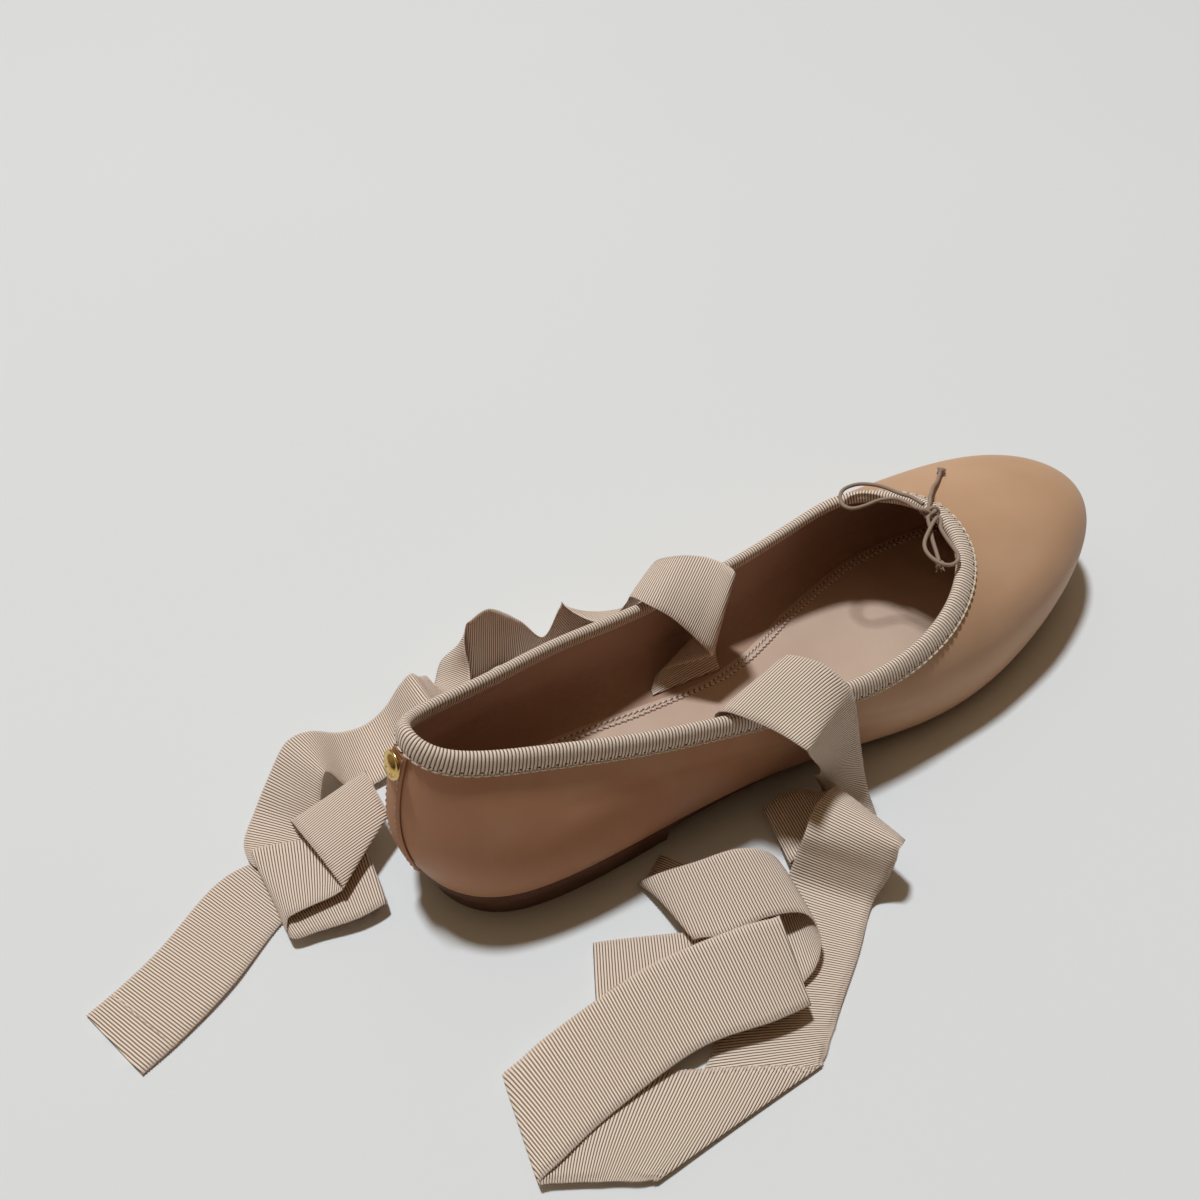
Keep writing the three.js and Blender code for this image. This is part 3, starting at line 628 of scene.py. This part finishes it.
def makeKnot(name, nodeName, centre, turn, size, radius):
    # trefoil: (sin t + 2 sin 2t, cos t - 2 cos 2t, -sin 3t), sized and turned about the upright
    t = np.linspace(0, 2 * pi, 73)[:-1] + 0.5
    flat = np.stack([np.sin(t) + 2 * np.sin(2 * t), np.cos(t) - 2 * np.cos(2 * t), -np.sin(3 * t)], 1)
    flat = flat / [3, 3, 1] * size / 2
    c, s = cos(radians(turn)), sin(radians(turn))
    outward = np.stack([c * flat[:, 0] - s * flat[:, 1], s * flat[:, 0] + c * flat[:, 1], flat[:, 2]], 1)
    path = outward + centre
    # round cord along it, its first side facing out of the knot
    tangent = unit(np.roll(path, -1, 0) - np.roll(path, 1, 0))
    side = unit(outward - tangent * (outward * tangent).sum(1, keepdims=True))
    piece = roundPiece(name, path, tangent, side, radius, bow["knotSides"], True)
    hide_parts(nodeName)
    return piece


def makeBow():
    # a knot in the middle, and on each side a loop and an end with its knot and frayed tufts
    knot = makeKnot("bow_wrap", "bow_knot", (176.6, -2.8, 49.9), -34, bow["knotSize"], bow["knotRadius"])
    sides = (
        ("medial", medialCord, ["bow_loop_medial", "bow_end_medial"], (202.2, 16.9, 43.0), 40),
        ("lateral", lateralCord, ["bow_loop_lateral", "bow_end_lateral"], (165.9, -18.3, 44.9), -60),
    )
    for name, points, nodes, end, turn in sides:
        ends = ("cord_knot_" + name, "end_knot_" + name)
        endKnot = makeKnot(*ends, end, turn, bow["endSize"], bow["endRadius"])
        cord, path, length = tubePiece("bow_cord_" + name, points, bow["diameter"] / 2)
        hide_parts(*nodes)
        ahead = unit(path[-1] - path[-4])
        for k, spread in enumerate(((0.25, -0.5, 0.075), (-0.35, 0.45, 0.075), (0.05, 0.1, 0.075))):
            way = unit(ahead + spread)
            start = end + 0.6 * way
            bent = [start, start + 1.1 * way, start + 2.1 * way + [0, 0, -0.25]]
            tuft = tubePiece(f"cord_tuft_{name}_{k}", bent, np.linspace(0.42, 0.16, 8), step=1.0, sides=6)[0]


makeBow()
print("bow tied")

# the shoe's own lines, the same sections as the solids: heel, outer side, toe, inner side
shoe = {
    "length": 248.0,
    "ballWidth": 76.0,
    "backHeight": 64.5,
    "heelSeat": 12.3,
    "wall": 1.4,
    "gap": 0.3,
    "soleThickness": 4.2,
    "insoleThickness": 2.0,
}
# at, lateral, medial, seat, lean, reach
featherRows = np.array([
    (-0.023, 0, 0, 1, 70, 0.39), (0.023, 0.302, 0.302, 1, 69, 0.385),
    (0.122, 0.375, 0.368, 1.04, 66.5, 0.375), (0.245, 0.375, 0.355, 0.99, 66.5, 0.36),
    (0.373, 0.37, 0.322, 0.775, 66.5, 0.36), (0.491, 0.421, 0.355, 0.49, 66.5, 0.36),
    (0.602, 0.5, 0.434, 0.32, 66.5, 0.38), (0.715, 0.488, 0.506, 0.31, 68, 0.4),
    (0.829, 0.394, 0.485, 0.41, 69, 0.415), (0.949, 0.222, 0.332, 0.66, 68, 0.455),
    (1.022, -0.06, 0.06, 0.855, 68.5, 0.54),
])
# at, lateral, medial, rise, lean, reach
toplineRows = np.array([
    (0.005, 0.02, -0.02, 1, 67, 0.285), (0.023, 0.166, 0.098, 0.914, 74, 0.29),
    (0.133, 0.25, 0.171, 0.805, 79, 0.295), (0.222, 0.323, 0.268, 0.714, 79, 0.3),
    (0.321, 0.37, 0.302, 0.627, 78, 0.3), (0.422, 0.434, 0.35, 0.569, 74, 0.3),
    (0.526, 0.48, 0.37, 0.547, 66, 0.32), (0.619, 0.442, 0.38, 0.597, 51, 0.357),
    (0.68, 0.337, 0.343, 0.676, 36, 0.395), (0.722, 0.183, 0.182, 0.705, 25, 0.436),
    (0.73, -0.008, 0.008, 0.748, 11.5, 0.47),
])
roundCount = 2 * (len(featherRows) - 1)


def splineRun(rows, outer, inner, u, sign=1):
    # uniform cubic B-spline round the closed run of one column, u counts sections
    run = np.concatenate([sign * rows[:, outer], rows[1:-1, inner][::-1]])
    first = np.floor(u).astype(int)
    t = u - first
    weights = ((1 - t) ** 3, 3 * t**3 - 6 * t**2 + 4, -3 * t**3 + 3 * t**2 + 3 * t + 1, t**3)
    return sum(w * run[(first - 1 + k) % roundCount] for k, w in enumerate(weights)) / 6


def roundLine(rows, height, u):
    # a table's shares along, across and up, times the shoe's sizes
    return np.stack([
        shoe["length"] * splineRun(rows, 0, 0, u),
        shoe["ballWidth"] * splineRun(rows, 1, 2, u, -1),
        height * splineRun(rows, 3, 3, u),
    ], -1)


def feather(u):
    return roundLine(featherRows, shoe["heelSeat"], u)


def topline(u):
    return roundLine(toplineRows, shoe["backHeight"], u)


def outOfFoot(u):
    # level and square to the feather edge
    way = feather(u + 0.02) - feather(u - 0.02)
    return unit(np.cross(way, [0, 0, 1]))


def face(u, v):
    # one cubic curve up the wall for each u, from feather edge to topline
    u, v = np.broadcast_arrays(u, v)
    foot, top, out = feather(u), topline(u), outOfFoot(u)
    span = np.linalg.norm(top - foot, axis=-1)
    lift = np.array([0.0, 0.0, 1.0])
    tables = (featherRows, toplineRows)
    low, high = (np.radians(splineRun(rows, 4, 4, u))[..., None] for rows in tables)
    lowReach, highReach = ((span * splineRun(rows, 5, 5, u))[..., None] for rows in tables)
    second = foot + lowReach * (np.cos(low) * out + np.sin(low) * lift)
    third = top + highReach * (np.cos(high) * out - np.sin(high) * lift)
    w = v[..., None]
    return (1 - w) ** 3 * foot + 3 * w * (1 - w) ** 2 * second + 3 * w**2 * (1 - w) * third + w**3 * top


def faceNormal(u, v):
    # cross product of the ways along and up the face
    step = 0.01
    way = face(u + step, v) - face(u - step, v)
    up = face(u, np.minimum(1, v + step)) - face(u, np.maximum(0, v - step))
    return unit(np.cross(way, up))


def skin(u, v, out):
    # the face moved out of the shoe by a distance
    return face(u, v) + np.asarray(out)[..., None] * faceNormal(u, v)


def belowTop(u, distance):
    # share of the wall that lies a distance below the topline
    shares = np.linspace(1, 0, 81)
    line = face(u[:, None], shares[None])
    steps = np.linalg.norm(np.diff(line, axis=1), axis=2)
    walked = np.concatenate([np.zeros((len(u), 1)), np.cumsum(steps, 1)], 1)
    distance = np.broadcast_to(distance, u.shape)
    after = np.clip((walked < distance[:, None]).sum(1), 1, 80)
    i = np.arange(len(u))
    t = (distance - walked[i, after - 1]) / (walked[i, after] - walked[i, after - 1])
    return shares[after - 1] + t * (shares[after] - shares[after - 1])


def evenRound(count, start=0.0):
    # u values that divide the topline into even lengths, and its whole length
    u = np.linspace(0, roundCount, 4001)
    run = walk(topline(u))
    return np.interp((np.arange(count) + start) * run[-1] / count, run, u), run[-1]


# upper
upper = {"around": 520, "rise": 56, "inner": 30}
# soft creases pressed into the leather: from (u, v) to (u, v), depth and half width in mm
creases = [
    (3.4, 0.62, 4.3, 0.55, 0.3, 3.2), (3.9, 0.46, 4.9, 0.4, 0.26, 2.8),
    (2.2, 0.58, 2.9, 0.63, 0.22, 3.4), (5.2, 0.66, 5.9, 0.52, 0.2, 3.0),
    (8.2, 0.8, 9.2, 0.72, 0.16, 3.4), (16.0, 0.55, 16.9, 0.6, 0.26, 3.2),
    (14.6, 0.62, 15.4, 0.52, 0.22, 3.0),
]


def pressed(u, v):
    # sum of rounded grooves: depth * exp(-(distance to the crease / half width)^2)
    alongMm, upMm = 15.0, 48.0
    total = 0.0
    for ua, va, ub, vb, depth, width in creases:
        dx, dy = (ub - ua) * alongMm, (vb - va) * upMm
        px, py = (u - ua) * alongMm, (v - va) * upMm
        t = np.clip((px * dx + py * dy) / (dx * dx + dy * dy), 0, 1)
        total -= depth * np.exp(-((px - t * dx) ** 2 + (py - t * dy) ** 2) / width**2)
    return total


def makeUpper():
    # closed profile up the outer face and down the lining, carried round the shoe
    u = np.arange(upper["around"])[:, None] * roundCount / upper["around"]
    v = np.linspace(0, 1, upper["rise"])[None]
    swell = (0.12 * np.sin(2.3 * u + 4 * v) + 0.10 * np.sin(5.1 * u - 7 * v)) * np.sin(pi * v)
    outer = skin(u, v, pressed(u, v) + swell)
    inside = skin(u, np.linspace(1, 0, upper["inner"])[None], -shoe["wall"])
    rows = np.concatenate([outer, inside], 1)
    piece = ringPiece(
        "upper_shell", rows, True, [leatherLook, liningLook],
        slotOf=lambda j: j >= upper["rise"],
    )
    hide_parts("upper")


makeUpper()
print("upper lasted")

# topline binding
binding = {"sections": 560, "stretch": 1.22, "stitchPitch": 2.35, "holeDrop": 3.75, "lipDrop": 4.75}
bindingProfile = np.array([  # out of the upper's face, up from its top edge along the wall
    (0.35, -4.85), (0.65, -4.5), (0.8, -3.9), (1.1, -3.0), (1.25, -1.8), (1.2, -0.5), (0.9, 0.5),
    (0.25, 1.25), (-0.6, 1.5), (-1.45, 1.25), (-2.1, 0.5), (-2.35, -0.5), (-2.35, -1.5), (-2.2, -2.4),
    (-1.75, -2.6), (-1.7, -1.2), (-1.7, 0.3), (0.3, 0.3), (0.3, -2.4),
])


def makeBinding():
    # closed profile folded over the top edge, carried round the topline
    u, length = evenRound(binding["sections"])
    rim = unit(face(u, 1.0) - face(u, 0.98))
    # below the edge it follows the wall, above it the wall's last way up
    below = lambda out, drop: skin(u, belowTop(u, drop), out)
    above = lambda out, up: skin(u, 1.0, out) + up * rim
    rows = np.stack([below(out, -up) if up < 0 else above(out, up) for out, up in bindingProfile], 1)
    # drawn round the edge, so its ribs stand further apart
    ribs = round(length / grosgrain["pitch"] / binding["stretch"])
    along = np.arange(len(u) + 1) / len(u) * ribs * grosgrain["pitch"] / ribbonUnit
    across = walk(np.vstack([bindingProfile, bindingProfile[:1]])) / ribbonUnit
    a, b = np.meshgrid(across, along)
    # the ribs run square to the topline
    top = topline(u)
    way = unit(np.roll(top, -1, 0) - np.roll(top, 1, 0))
    slip = ((rows - top[:, None]) * way[:, None]).sum(-1) / ribbonUnit / binding["stretch"]
    b = b + np.pad(slip, ((0, 1), (0, 1)), mode="wrap")
    piece = ringPiece("binding_ribbon", rows, True, ribbonLook, np.stack([a, b], -1))
    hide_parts("topline_binding")
    # dots of painted shade for the needle holes, above a pale lip of thread along the lower edge
    count = int(length / binding["stitchPitch"])
    for name, drop, start, size, radius, look, out in (
        ("binding_lip", "lipDrop", 0.0, 2.5, 0.36, threadLook, 0.62),
        ("binding_hole_shades", "holeDrop", 0.5, 0.75, 0.3, holeShadeLook, 0.82),
    ):
        s = evenRound(count, start)[0]
        share = belowTop(s, binding[drop])
        centres = skin(s, share, out)
        way = skin(s + 0.02, belowTop(s + 0.02, binding[drop]), out) - centres
        row = stitchRow(name, centres, way, faceNormal(s, share), size, radius, look)


makeBinding()
print("topline bound")

# heel strip and stud
strip = {"halfWidth": 3.5, "flareFoot": 0.95, "flareTop": 1.55, "thickness": 0.9, "top": 5.3, "foot": 1.0}
stud = {"radius": 4.0, "height": 1.9, "drop": 9.6}


def stripPlace(share, side):
    # share up the strip from 0 to 1, side across it from -1 to 1
    halfTurn = strip["halfWidth"] / np.linalg.norm(feather(np.array(1.0)) - feather(np.array(0.0)))
    u = -side * halfTurn * (strip["flareFoot"] + (strip["flareTop"] - strip["flareFoot"]) * share**4)
    high = belowTop(u.ravel(), strip["top"]).reshape(u.shape)
    low = strip["foot"] / np.linalg.norm(feather(u) - topline(u), axis=-1)
    return u, low + (high - low) * share


def makeHeelStrip():
    # a slab that follows the upper's face, its long edges rounded over
    share, side = np.meshgrid(np.linspace(0, 1, 60), np.linspace(-1, 1, 17), indexing="ij")
    u, v = stripPlace(share, side)
    rounded = np.sqrt(np.clip(1 - np.abs(side) ** 6, 0, 1))
    front = skin(u, v, shoe["gap"] + strip["thickness"] * (0.25 + 0.75 * rounded))
    rows = np.concatenate([front, skin(u, v, shoe["gap"])[:, ::-1]], 1)
    piece = ringPiece("back_strip", rows, False, leatherLook)
    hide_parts("heel_strip")
    height = np.linspace(0.03, 0.97, 19)
    for name, edge in (("lateral", -0.78), ("medial", 0.78)):
        us, vs = stripPlace(height, np.full(len(height), edge))
        centres = skin(us, vs, shoe["gap"] + strip["thickness"] * 0.97)
        way = np.gradient(centres, axis=0)
        row = stitchRow(f"strip_stitches_{name}", centres, way, faceNormal(us, vs), 1.3, 0.2, stripThreadLook)


def makeStud():
    # low dome with a rolled rim, turned about the line out of the strip
    zero = np.zeros(1)
    v = belowTop(zero, stud["drop"])
    seat = skin(zero, v, 2 * shoe["gap"] + strip["thickness"])[0]
    axis = faceNormal(zero, v)[0]
    side = unit(np.cross(axis, [0.0, 0.0, 1.0]))
    profile = np.array([
        (0.02, 0), (1.0, 0), (1.0, 0.22), (0.97, 0.36), (0.9, 0.42), (0.82, 0.36), (0.78, 0.34), (0.7, 0.55),
        (0.55, 0.78), (0.36, 0.92), (0.18, 0.98), (0.02, 1.0),
    ]) * [stud["radius"], stud["height"]]
    angle = np.arange(48)[:, None, None] * 2 * pi / 48
    around = np.cos(angle) * side + np.sin(angle) * np.cross(axis, side)
    rows = seat + profile[None, :, :1] * around + profile[None, :, 1:] * axis
    piece = ringPiece("gilt_stud", rows, True, giltLook)
    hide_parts("heel_stud")


makeHeelStrip()
makeStud()
print("heel strip sewn")

# insole, outsole and heel
sole = {
    "stations": 260,
    "topInset": 0.4,
    "baseInset": 1.6,
    "foreInset": 2.2,
    "foreFrom": 55.0,
    "foreOver": 60.0,
    "insoleInset": 1.9,
    "breast": 62.0,
    "breastHollow": 6.0,
    "heelTopInset": 1.9,
    "heelBaseInset": 3.6,
    "stitchIn": (1.7, 3.6),
    "stitchPitch": 2.0,
    "stitchLift": 0.12,
    "stitchLean": 0.45,
    "dish": 0.35,
    "filletRise": 9.0,
    "liningTop": 1.9,
    "liningLift": 0.2,
    "cornerInset": 2.6,
    "cornerLift": 0.4,
}
# how far the sock's edge lies inside the feather edge, by section: outer side, inner side
sockInset = np.array([
    (0.0, 6.0, 9.0), (1.0, 6.0, 10.5), (3.0, 6.0, 12.4), (3.8, 6.0, 13.8), (4.3, 6.0, 14.6),
    (4.9, 5.5, 12.2), (5.7, 5.0, 7.6), (7.0, 4.5, 5.0), (10.0, 4.0, 4.0),
])
# wrinkles across the sock: depth, slant, pitch, sway, where along the shoe, how far they reach
sockWrinkles = ((0.35, 0.25, 2.6, 1.5, 208, 14), (0.22, -0.2, 4.4, 0, 186, 16))
# sections through the sole, on the outer side; the inner side's are their negatives
stationU = np.linspace(0.04, roundCount / 2 - 0.04, sole["stations"])


def soleEdge(u, inset, height):
    # feather edge moved in, at a height worked out from the seat
    foot = feather(u)
    point = foot - inset * outOfFoot(u)
    point[..., 2] = height(foot[..., 2])
    return point


def soleBase(seat):
    # the sole's underside, flat where it meets the floor
    return np.maximum(0, seat - shoe["gap"] - shoe["soleThickness"])


def fromHeel(u):
    # sections counted from the heel, alike on both sides
    return np.minimum(u % roundCount, roundCount - u % roundCount)


def sockTop(u, further=0.0):
    # the sock's edge, as high as the insole is thick, held clear of the middle where the shoe narrows
    section = fromHeel(u)
    outer, inner = (np.interp(section, sockInset[:, 0], sockInset[:, k]) for k in (1, 2))
    half = np.abs(feather(u)[..., 1] - feather(-u)[..., 1]) / 2
    inset = np.minimum(np.where(u % roundCount < roundCount / 2, outer, inner) + further, 0.62 * half)
    return soleEdge(u, inset[..., None], lambda seat: seat + shoe["insoleThickness"])


def insoleSide(u, steps):
    # lining: from under the binding down the wall, then a quarter turn in to the sock's edge
    tall = np.linalg.norm(topline(u) - feather(u), axis=-1)
    rise = sole["filletRise"] * np.clip(fromHeel(u) / 0.6, 0.25, 1)
    foot = np.minimum(rise / tall, 0.35)
    head = belowTop(u % roundCount, sole["liningTop"])
    wall = lambda share, lift: skin(u, share, -shoe["wall"] - lift)
    lift = sole["liningLift"]
    down = [wall(head + (foot - head) * k, lift) for k in np.linspace(0, 1, steps)[:-1]]
    high, low = wall(foot, lift), sockTop(u)
    over = shoe["insoleThickness"] + sole["cornerLift"]
    corner = soleEdge(u, sole["cornerInset"], lambda seat: seat + over)
    t = np.linspace(0, 1, steps)[None, :, None]
    curve = (1 - t) ** 2 * high[:, None] + 2 * t * (1 - t) * corner[:, None] + t**2 * low[:, None]
    behind = [wall(head * k, 0.06) for k in (0.98, 0.66, 0.33, 0.05)]
    return np.concatenate([np.stack(down, 1), curve], 1), np.stack(behind, 1)


def makeInsole():
    # closed section at each station: down the lining, across the sock, up the other side, back underneath
    columns, steps = 60, 12
    outerCurve, outerWall = insoleSide(stationU, steps)
    innerCurve, innerWall = insoleSide(-stationU, steps)
    t = np.linspace(0, 1, columns)[1:-1][None, :, None]
    across = outerCurve[:, -1:] * (1 - t) + innerCurve[:, -1:] * t
    # a shallow dish for the foot, and a few cross wrinkles under the toes: waves that fade either way
    x, y = across[..., 0], across[..., 1]
    wrinkle = sum(
        depth * np.sin((x + slant * y) / pitch + sway * np.sin(y / 13)) * np.exp(-(((x - at) / reach) ** 2))
        for depth, slant, pitch, sway, at, reach in sockWrinkles
    )
    middle = (2 * t[..., 0] - 1) ** 2
    across[..., 2] += (wrinkle - sole["dish"] * (1 - middle)) * (1 - middle**4)
    base = lambda u: soleEdge(u, sole["insoleInset"] + 0.3, lambda seat: seat)[:, None]
    innerHalf = [innerCurve[:, ::-1], innerWall, base(-stationU)]
    rows = np.concatenate([outerCurve, across, *innerHalf, base(stationU), outerWall[:, ::-1]], 1)
    piece = ringPiece(
        "insole_sock", rows, False, [liningLook, sockLook],
        slotOf=lambda j: (j >= 2 * steps - 2) & (j < 2 * steps + columns - 3),
    )
    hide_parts("insole")
    # two rows of stitches just inside the sock's edge, with dots of painted shade for the needle holes
    # between
    for k, further in enumerate(sole["stitchIn"]):
        for part, first, last in (("lateral", 0.5, 9.2), ("medial", 10.8, 19.5)):
            path = sockTop(np.linspace(first, last, 900), further)
            path[:, 2] += sole["stitchLift"]
            pitch, end = sole["stitchPitch"], walk(path)[-1] - 1
            for kind, shift, size, radius, look in (
                ("stitches", 0.0, 1.8, 0.5, sockThreadLook),
                ("hole_shades", 0.5, 0.8, 0.24, sockHoleShadeLook),
            ):
                centres = resample(path, np.arange(1 + (0.5 * k + shift) * pitch, end, pitch))
                # the two rows lean opposite ways
                way = np.gradient(centres, axis=0)
                way[:, :2] += sole["stitchLean"] * (1 - 2 * k) * np.stack([-way[:, 1], way[:, 0]], 1)
                row = stitchRow(f"sock_{kind}_{part}_{k}", centres, way, (0, 0, 1), size, radius, look)


def makeOutsole():
    # closed section at each station with rounded sides, set back further from the heel breast forwards
    gap = shoe["gap"]
    fore = lambda u: np.clip((feather(u)[..., 0] - sole["foreFrom"]) / sole["foreOver"], 0, 1)
    edge = lambda u, inset, height: soleEdge(u, (inset + sole["foreInset"] * fore(u))[..., None], height)
    top = lambda u: edge(u, sole["topInset"] + 0.25, lambda seat: seat - gap)
    base = lambda u: edge(u, sole["baseInset"], soleBase)
    rise = lambda share: lambda seat: soleBase(seat) + share * (seat - gap - soleBase(seat))
    levels = ((0.0, 0.88), (0.0, 0.62), (0.12, 0.38), (0.45, 0.16), (0.9, 0.05))  # inset, share up the edge
    side = [lambda u, i=i, h=h: edge(u, sole["topInset"] + i, rise(h)) for i, h in levels]
    t = np.linspace(0, 1, 16)[None, :, None]
    across = lambda line: line(stationU)[:, None] * (1 - t) + line(-stationU)[:, None] * t
    inner = [line(-stationU)[:, None] for line in side]
    outer = [line(stationU)[:, None] for line in reversed(side)]
    rows = np.concatenate([across(top), *inner, across(base)[:, ::-1], *outer], 1)
    piece = ringPiece("sole_leather", rows, False, soleLook)
    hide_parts("outsole")


def makeHeel():
    # rings from the floor up: the heel's edge from breast to breast, closed by a hollow curve
    scan = np.linspace(1, 5, 801)
    breastU = scan[np.argmax(feather(scan)[:, 0] >= sole["breast"])]
    u = np.linspace(-breastU, breastU, 120)
    taper = sole["heelTopInset"] - sole["heelBaseInset"]
    # share of the height, and how far the edge is eased in there
    levels = ((0, 0.5), (0.03, 0.12), (0.1, 0), (0.3, 0), (0.5, 0), (0.68, 0), (0.84, 0), (0.94, 0), (1, 0.2))
    t = np.linspace(0, 1, 26)[1:-1, None]
    rings = []
    for share, eased in levels:
        inset = sole["heelBaseInset"] + taper * share + eased
        edge = soleEdge(u, inset, lambda seat: share * (soleBase(seat) - shoe["gap"]))
        a, b = edge[-1], edge[0]
        middle = (a + b) / 2 - [2 * sole["breastHollow"], 0, 0]
        breast = (1 - t) ** 2 * a + 2 * t * (1 - t) * middle + t**2 * b
        rings.append(np.vstack([edge, breast]))
    piece = ringPiece("heel_block", np.stack(rings), False, heelLook)
    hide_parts("heel")


makeInsole()
makeOutsole()
makeHeel()
print("sole and heel set")

# floor and light
studio = {
    "floor": (0.76, 0.75, 0.725),
    "keyAway": (-0.1, 0.72, 2.8),
    "keyDistance": 4.4,
    "keySize": 0.52,
    "keyPower": 163.0,
    "keyColour": (0.85, 0.935, 1.02),
    "skyHigh": (1.0, 0.76, 0.49),
    "skyLow": (0.16, 0.08, 0.03),
    "skyFacing": (0, 0.6, 0.8),
    "ambient": 0.3,
    "floorReach": 6.0,
    "wall": (0.5, 0.49, 0.47),
}


def makeStudio():
    # a wide floor, one round soft light, and a warm sky that fades towards the near side
    reach = studio["floorReach"]
    mesh = bpy.data.meshes.new("floor")
    corners = [(-reach, -reach, 0), (reach, -reach, 0), (reach, reach, 0), (-reach, reach, 0)]
    mesh.from_pydata(corners, [], [(0, 1, 2, 3)])
    look, tree, shader = newLook("pale_floor")
    worn = tuple(0.985 * c for c in studio["floor"])
    shade = ramp(tree, noise(tree, objectPlace(tree), 3, 2), [(0.2, worn), (0.8, studio["floor"])])
    setSockets(tree, shader, Base_Color=shade, Roughness=0.7, Specular_IOR_Level=0.1)
    mesh.materials.append(look)
    floor = addObject("floor", mesh)
    away = unit(studio["keyAway"])
    data = bpy.data.lights.new("key", "AREA")
    data.shape = "DISK"
    data.size = studio["keySize"]
    data.energy = studio["keyPower"]
    data.color = studio["keyColour"]
    side = unit(np.cross([0.0, 0.0, 1.0], away))
    addObject("key", data, (side, np.cross(away, side), away), studio["keyDistance"] * away)
    world = bpy.data.worlds.new("studio")
    world.use_nodes = True
    tree = world.node_tree
    sky = tree.nodes["Background"]
    facing = node(tree, "VectorMath", operation="DOT_PRODUCT")
    feed(tree, facing.inputs, node(tree, "TexCoord").outputs["Generated"])
    facing.inputs[1].default_value = studio["skyFacing"]
    glow = ramp(tree, facing.outputs["Value"], [(0.0, studio["skyLow"]), (0.8, studio["skyHigh"])])
    setSockets(tree, sky, Color=glow, Strength=studio["ambient"])
    # seen past the floor's edge: a plain pale wall
    wall = node(tree, "Background", Color=studio["wall"])
    cameraRay = node(tree, "LightPath").outputs["Is Camera Ray"]
    seen = node(tree, "MixShader")
    feed(tree, seen.inputs, cameraRay, sky.outputs[0], wall.outputs[0])
    setSockets(tree, tree.nodes["World Output"], Surface=seen.outputs[0])
    bpy.context.scene.world = world
    bpy.context.scene.view_settings.view_transform = "Standard"


makeStudio()
print("studio lit")
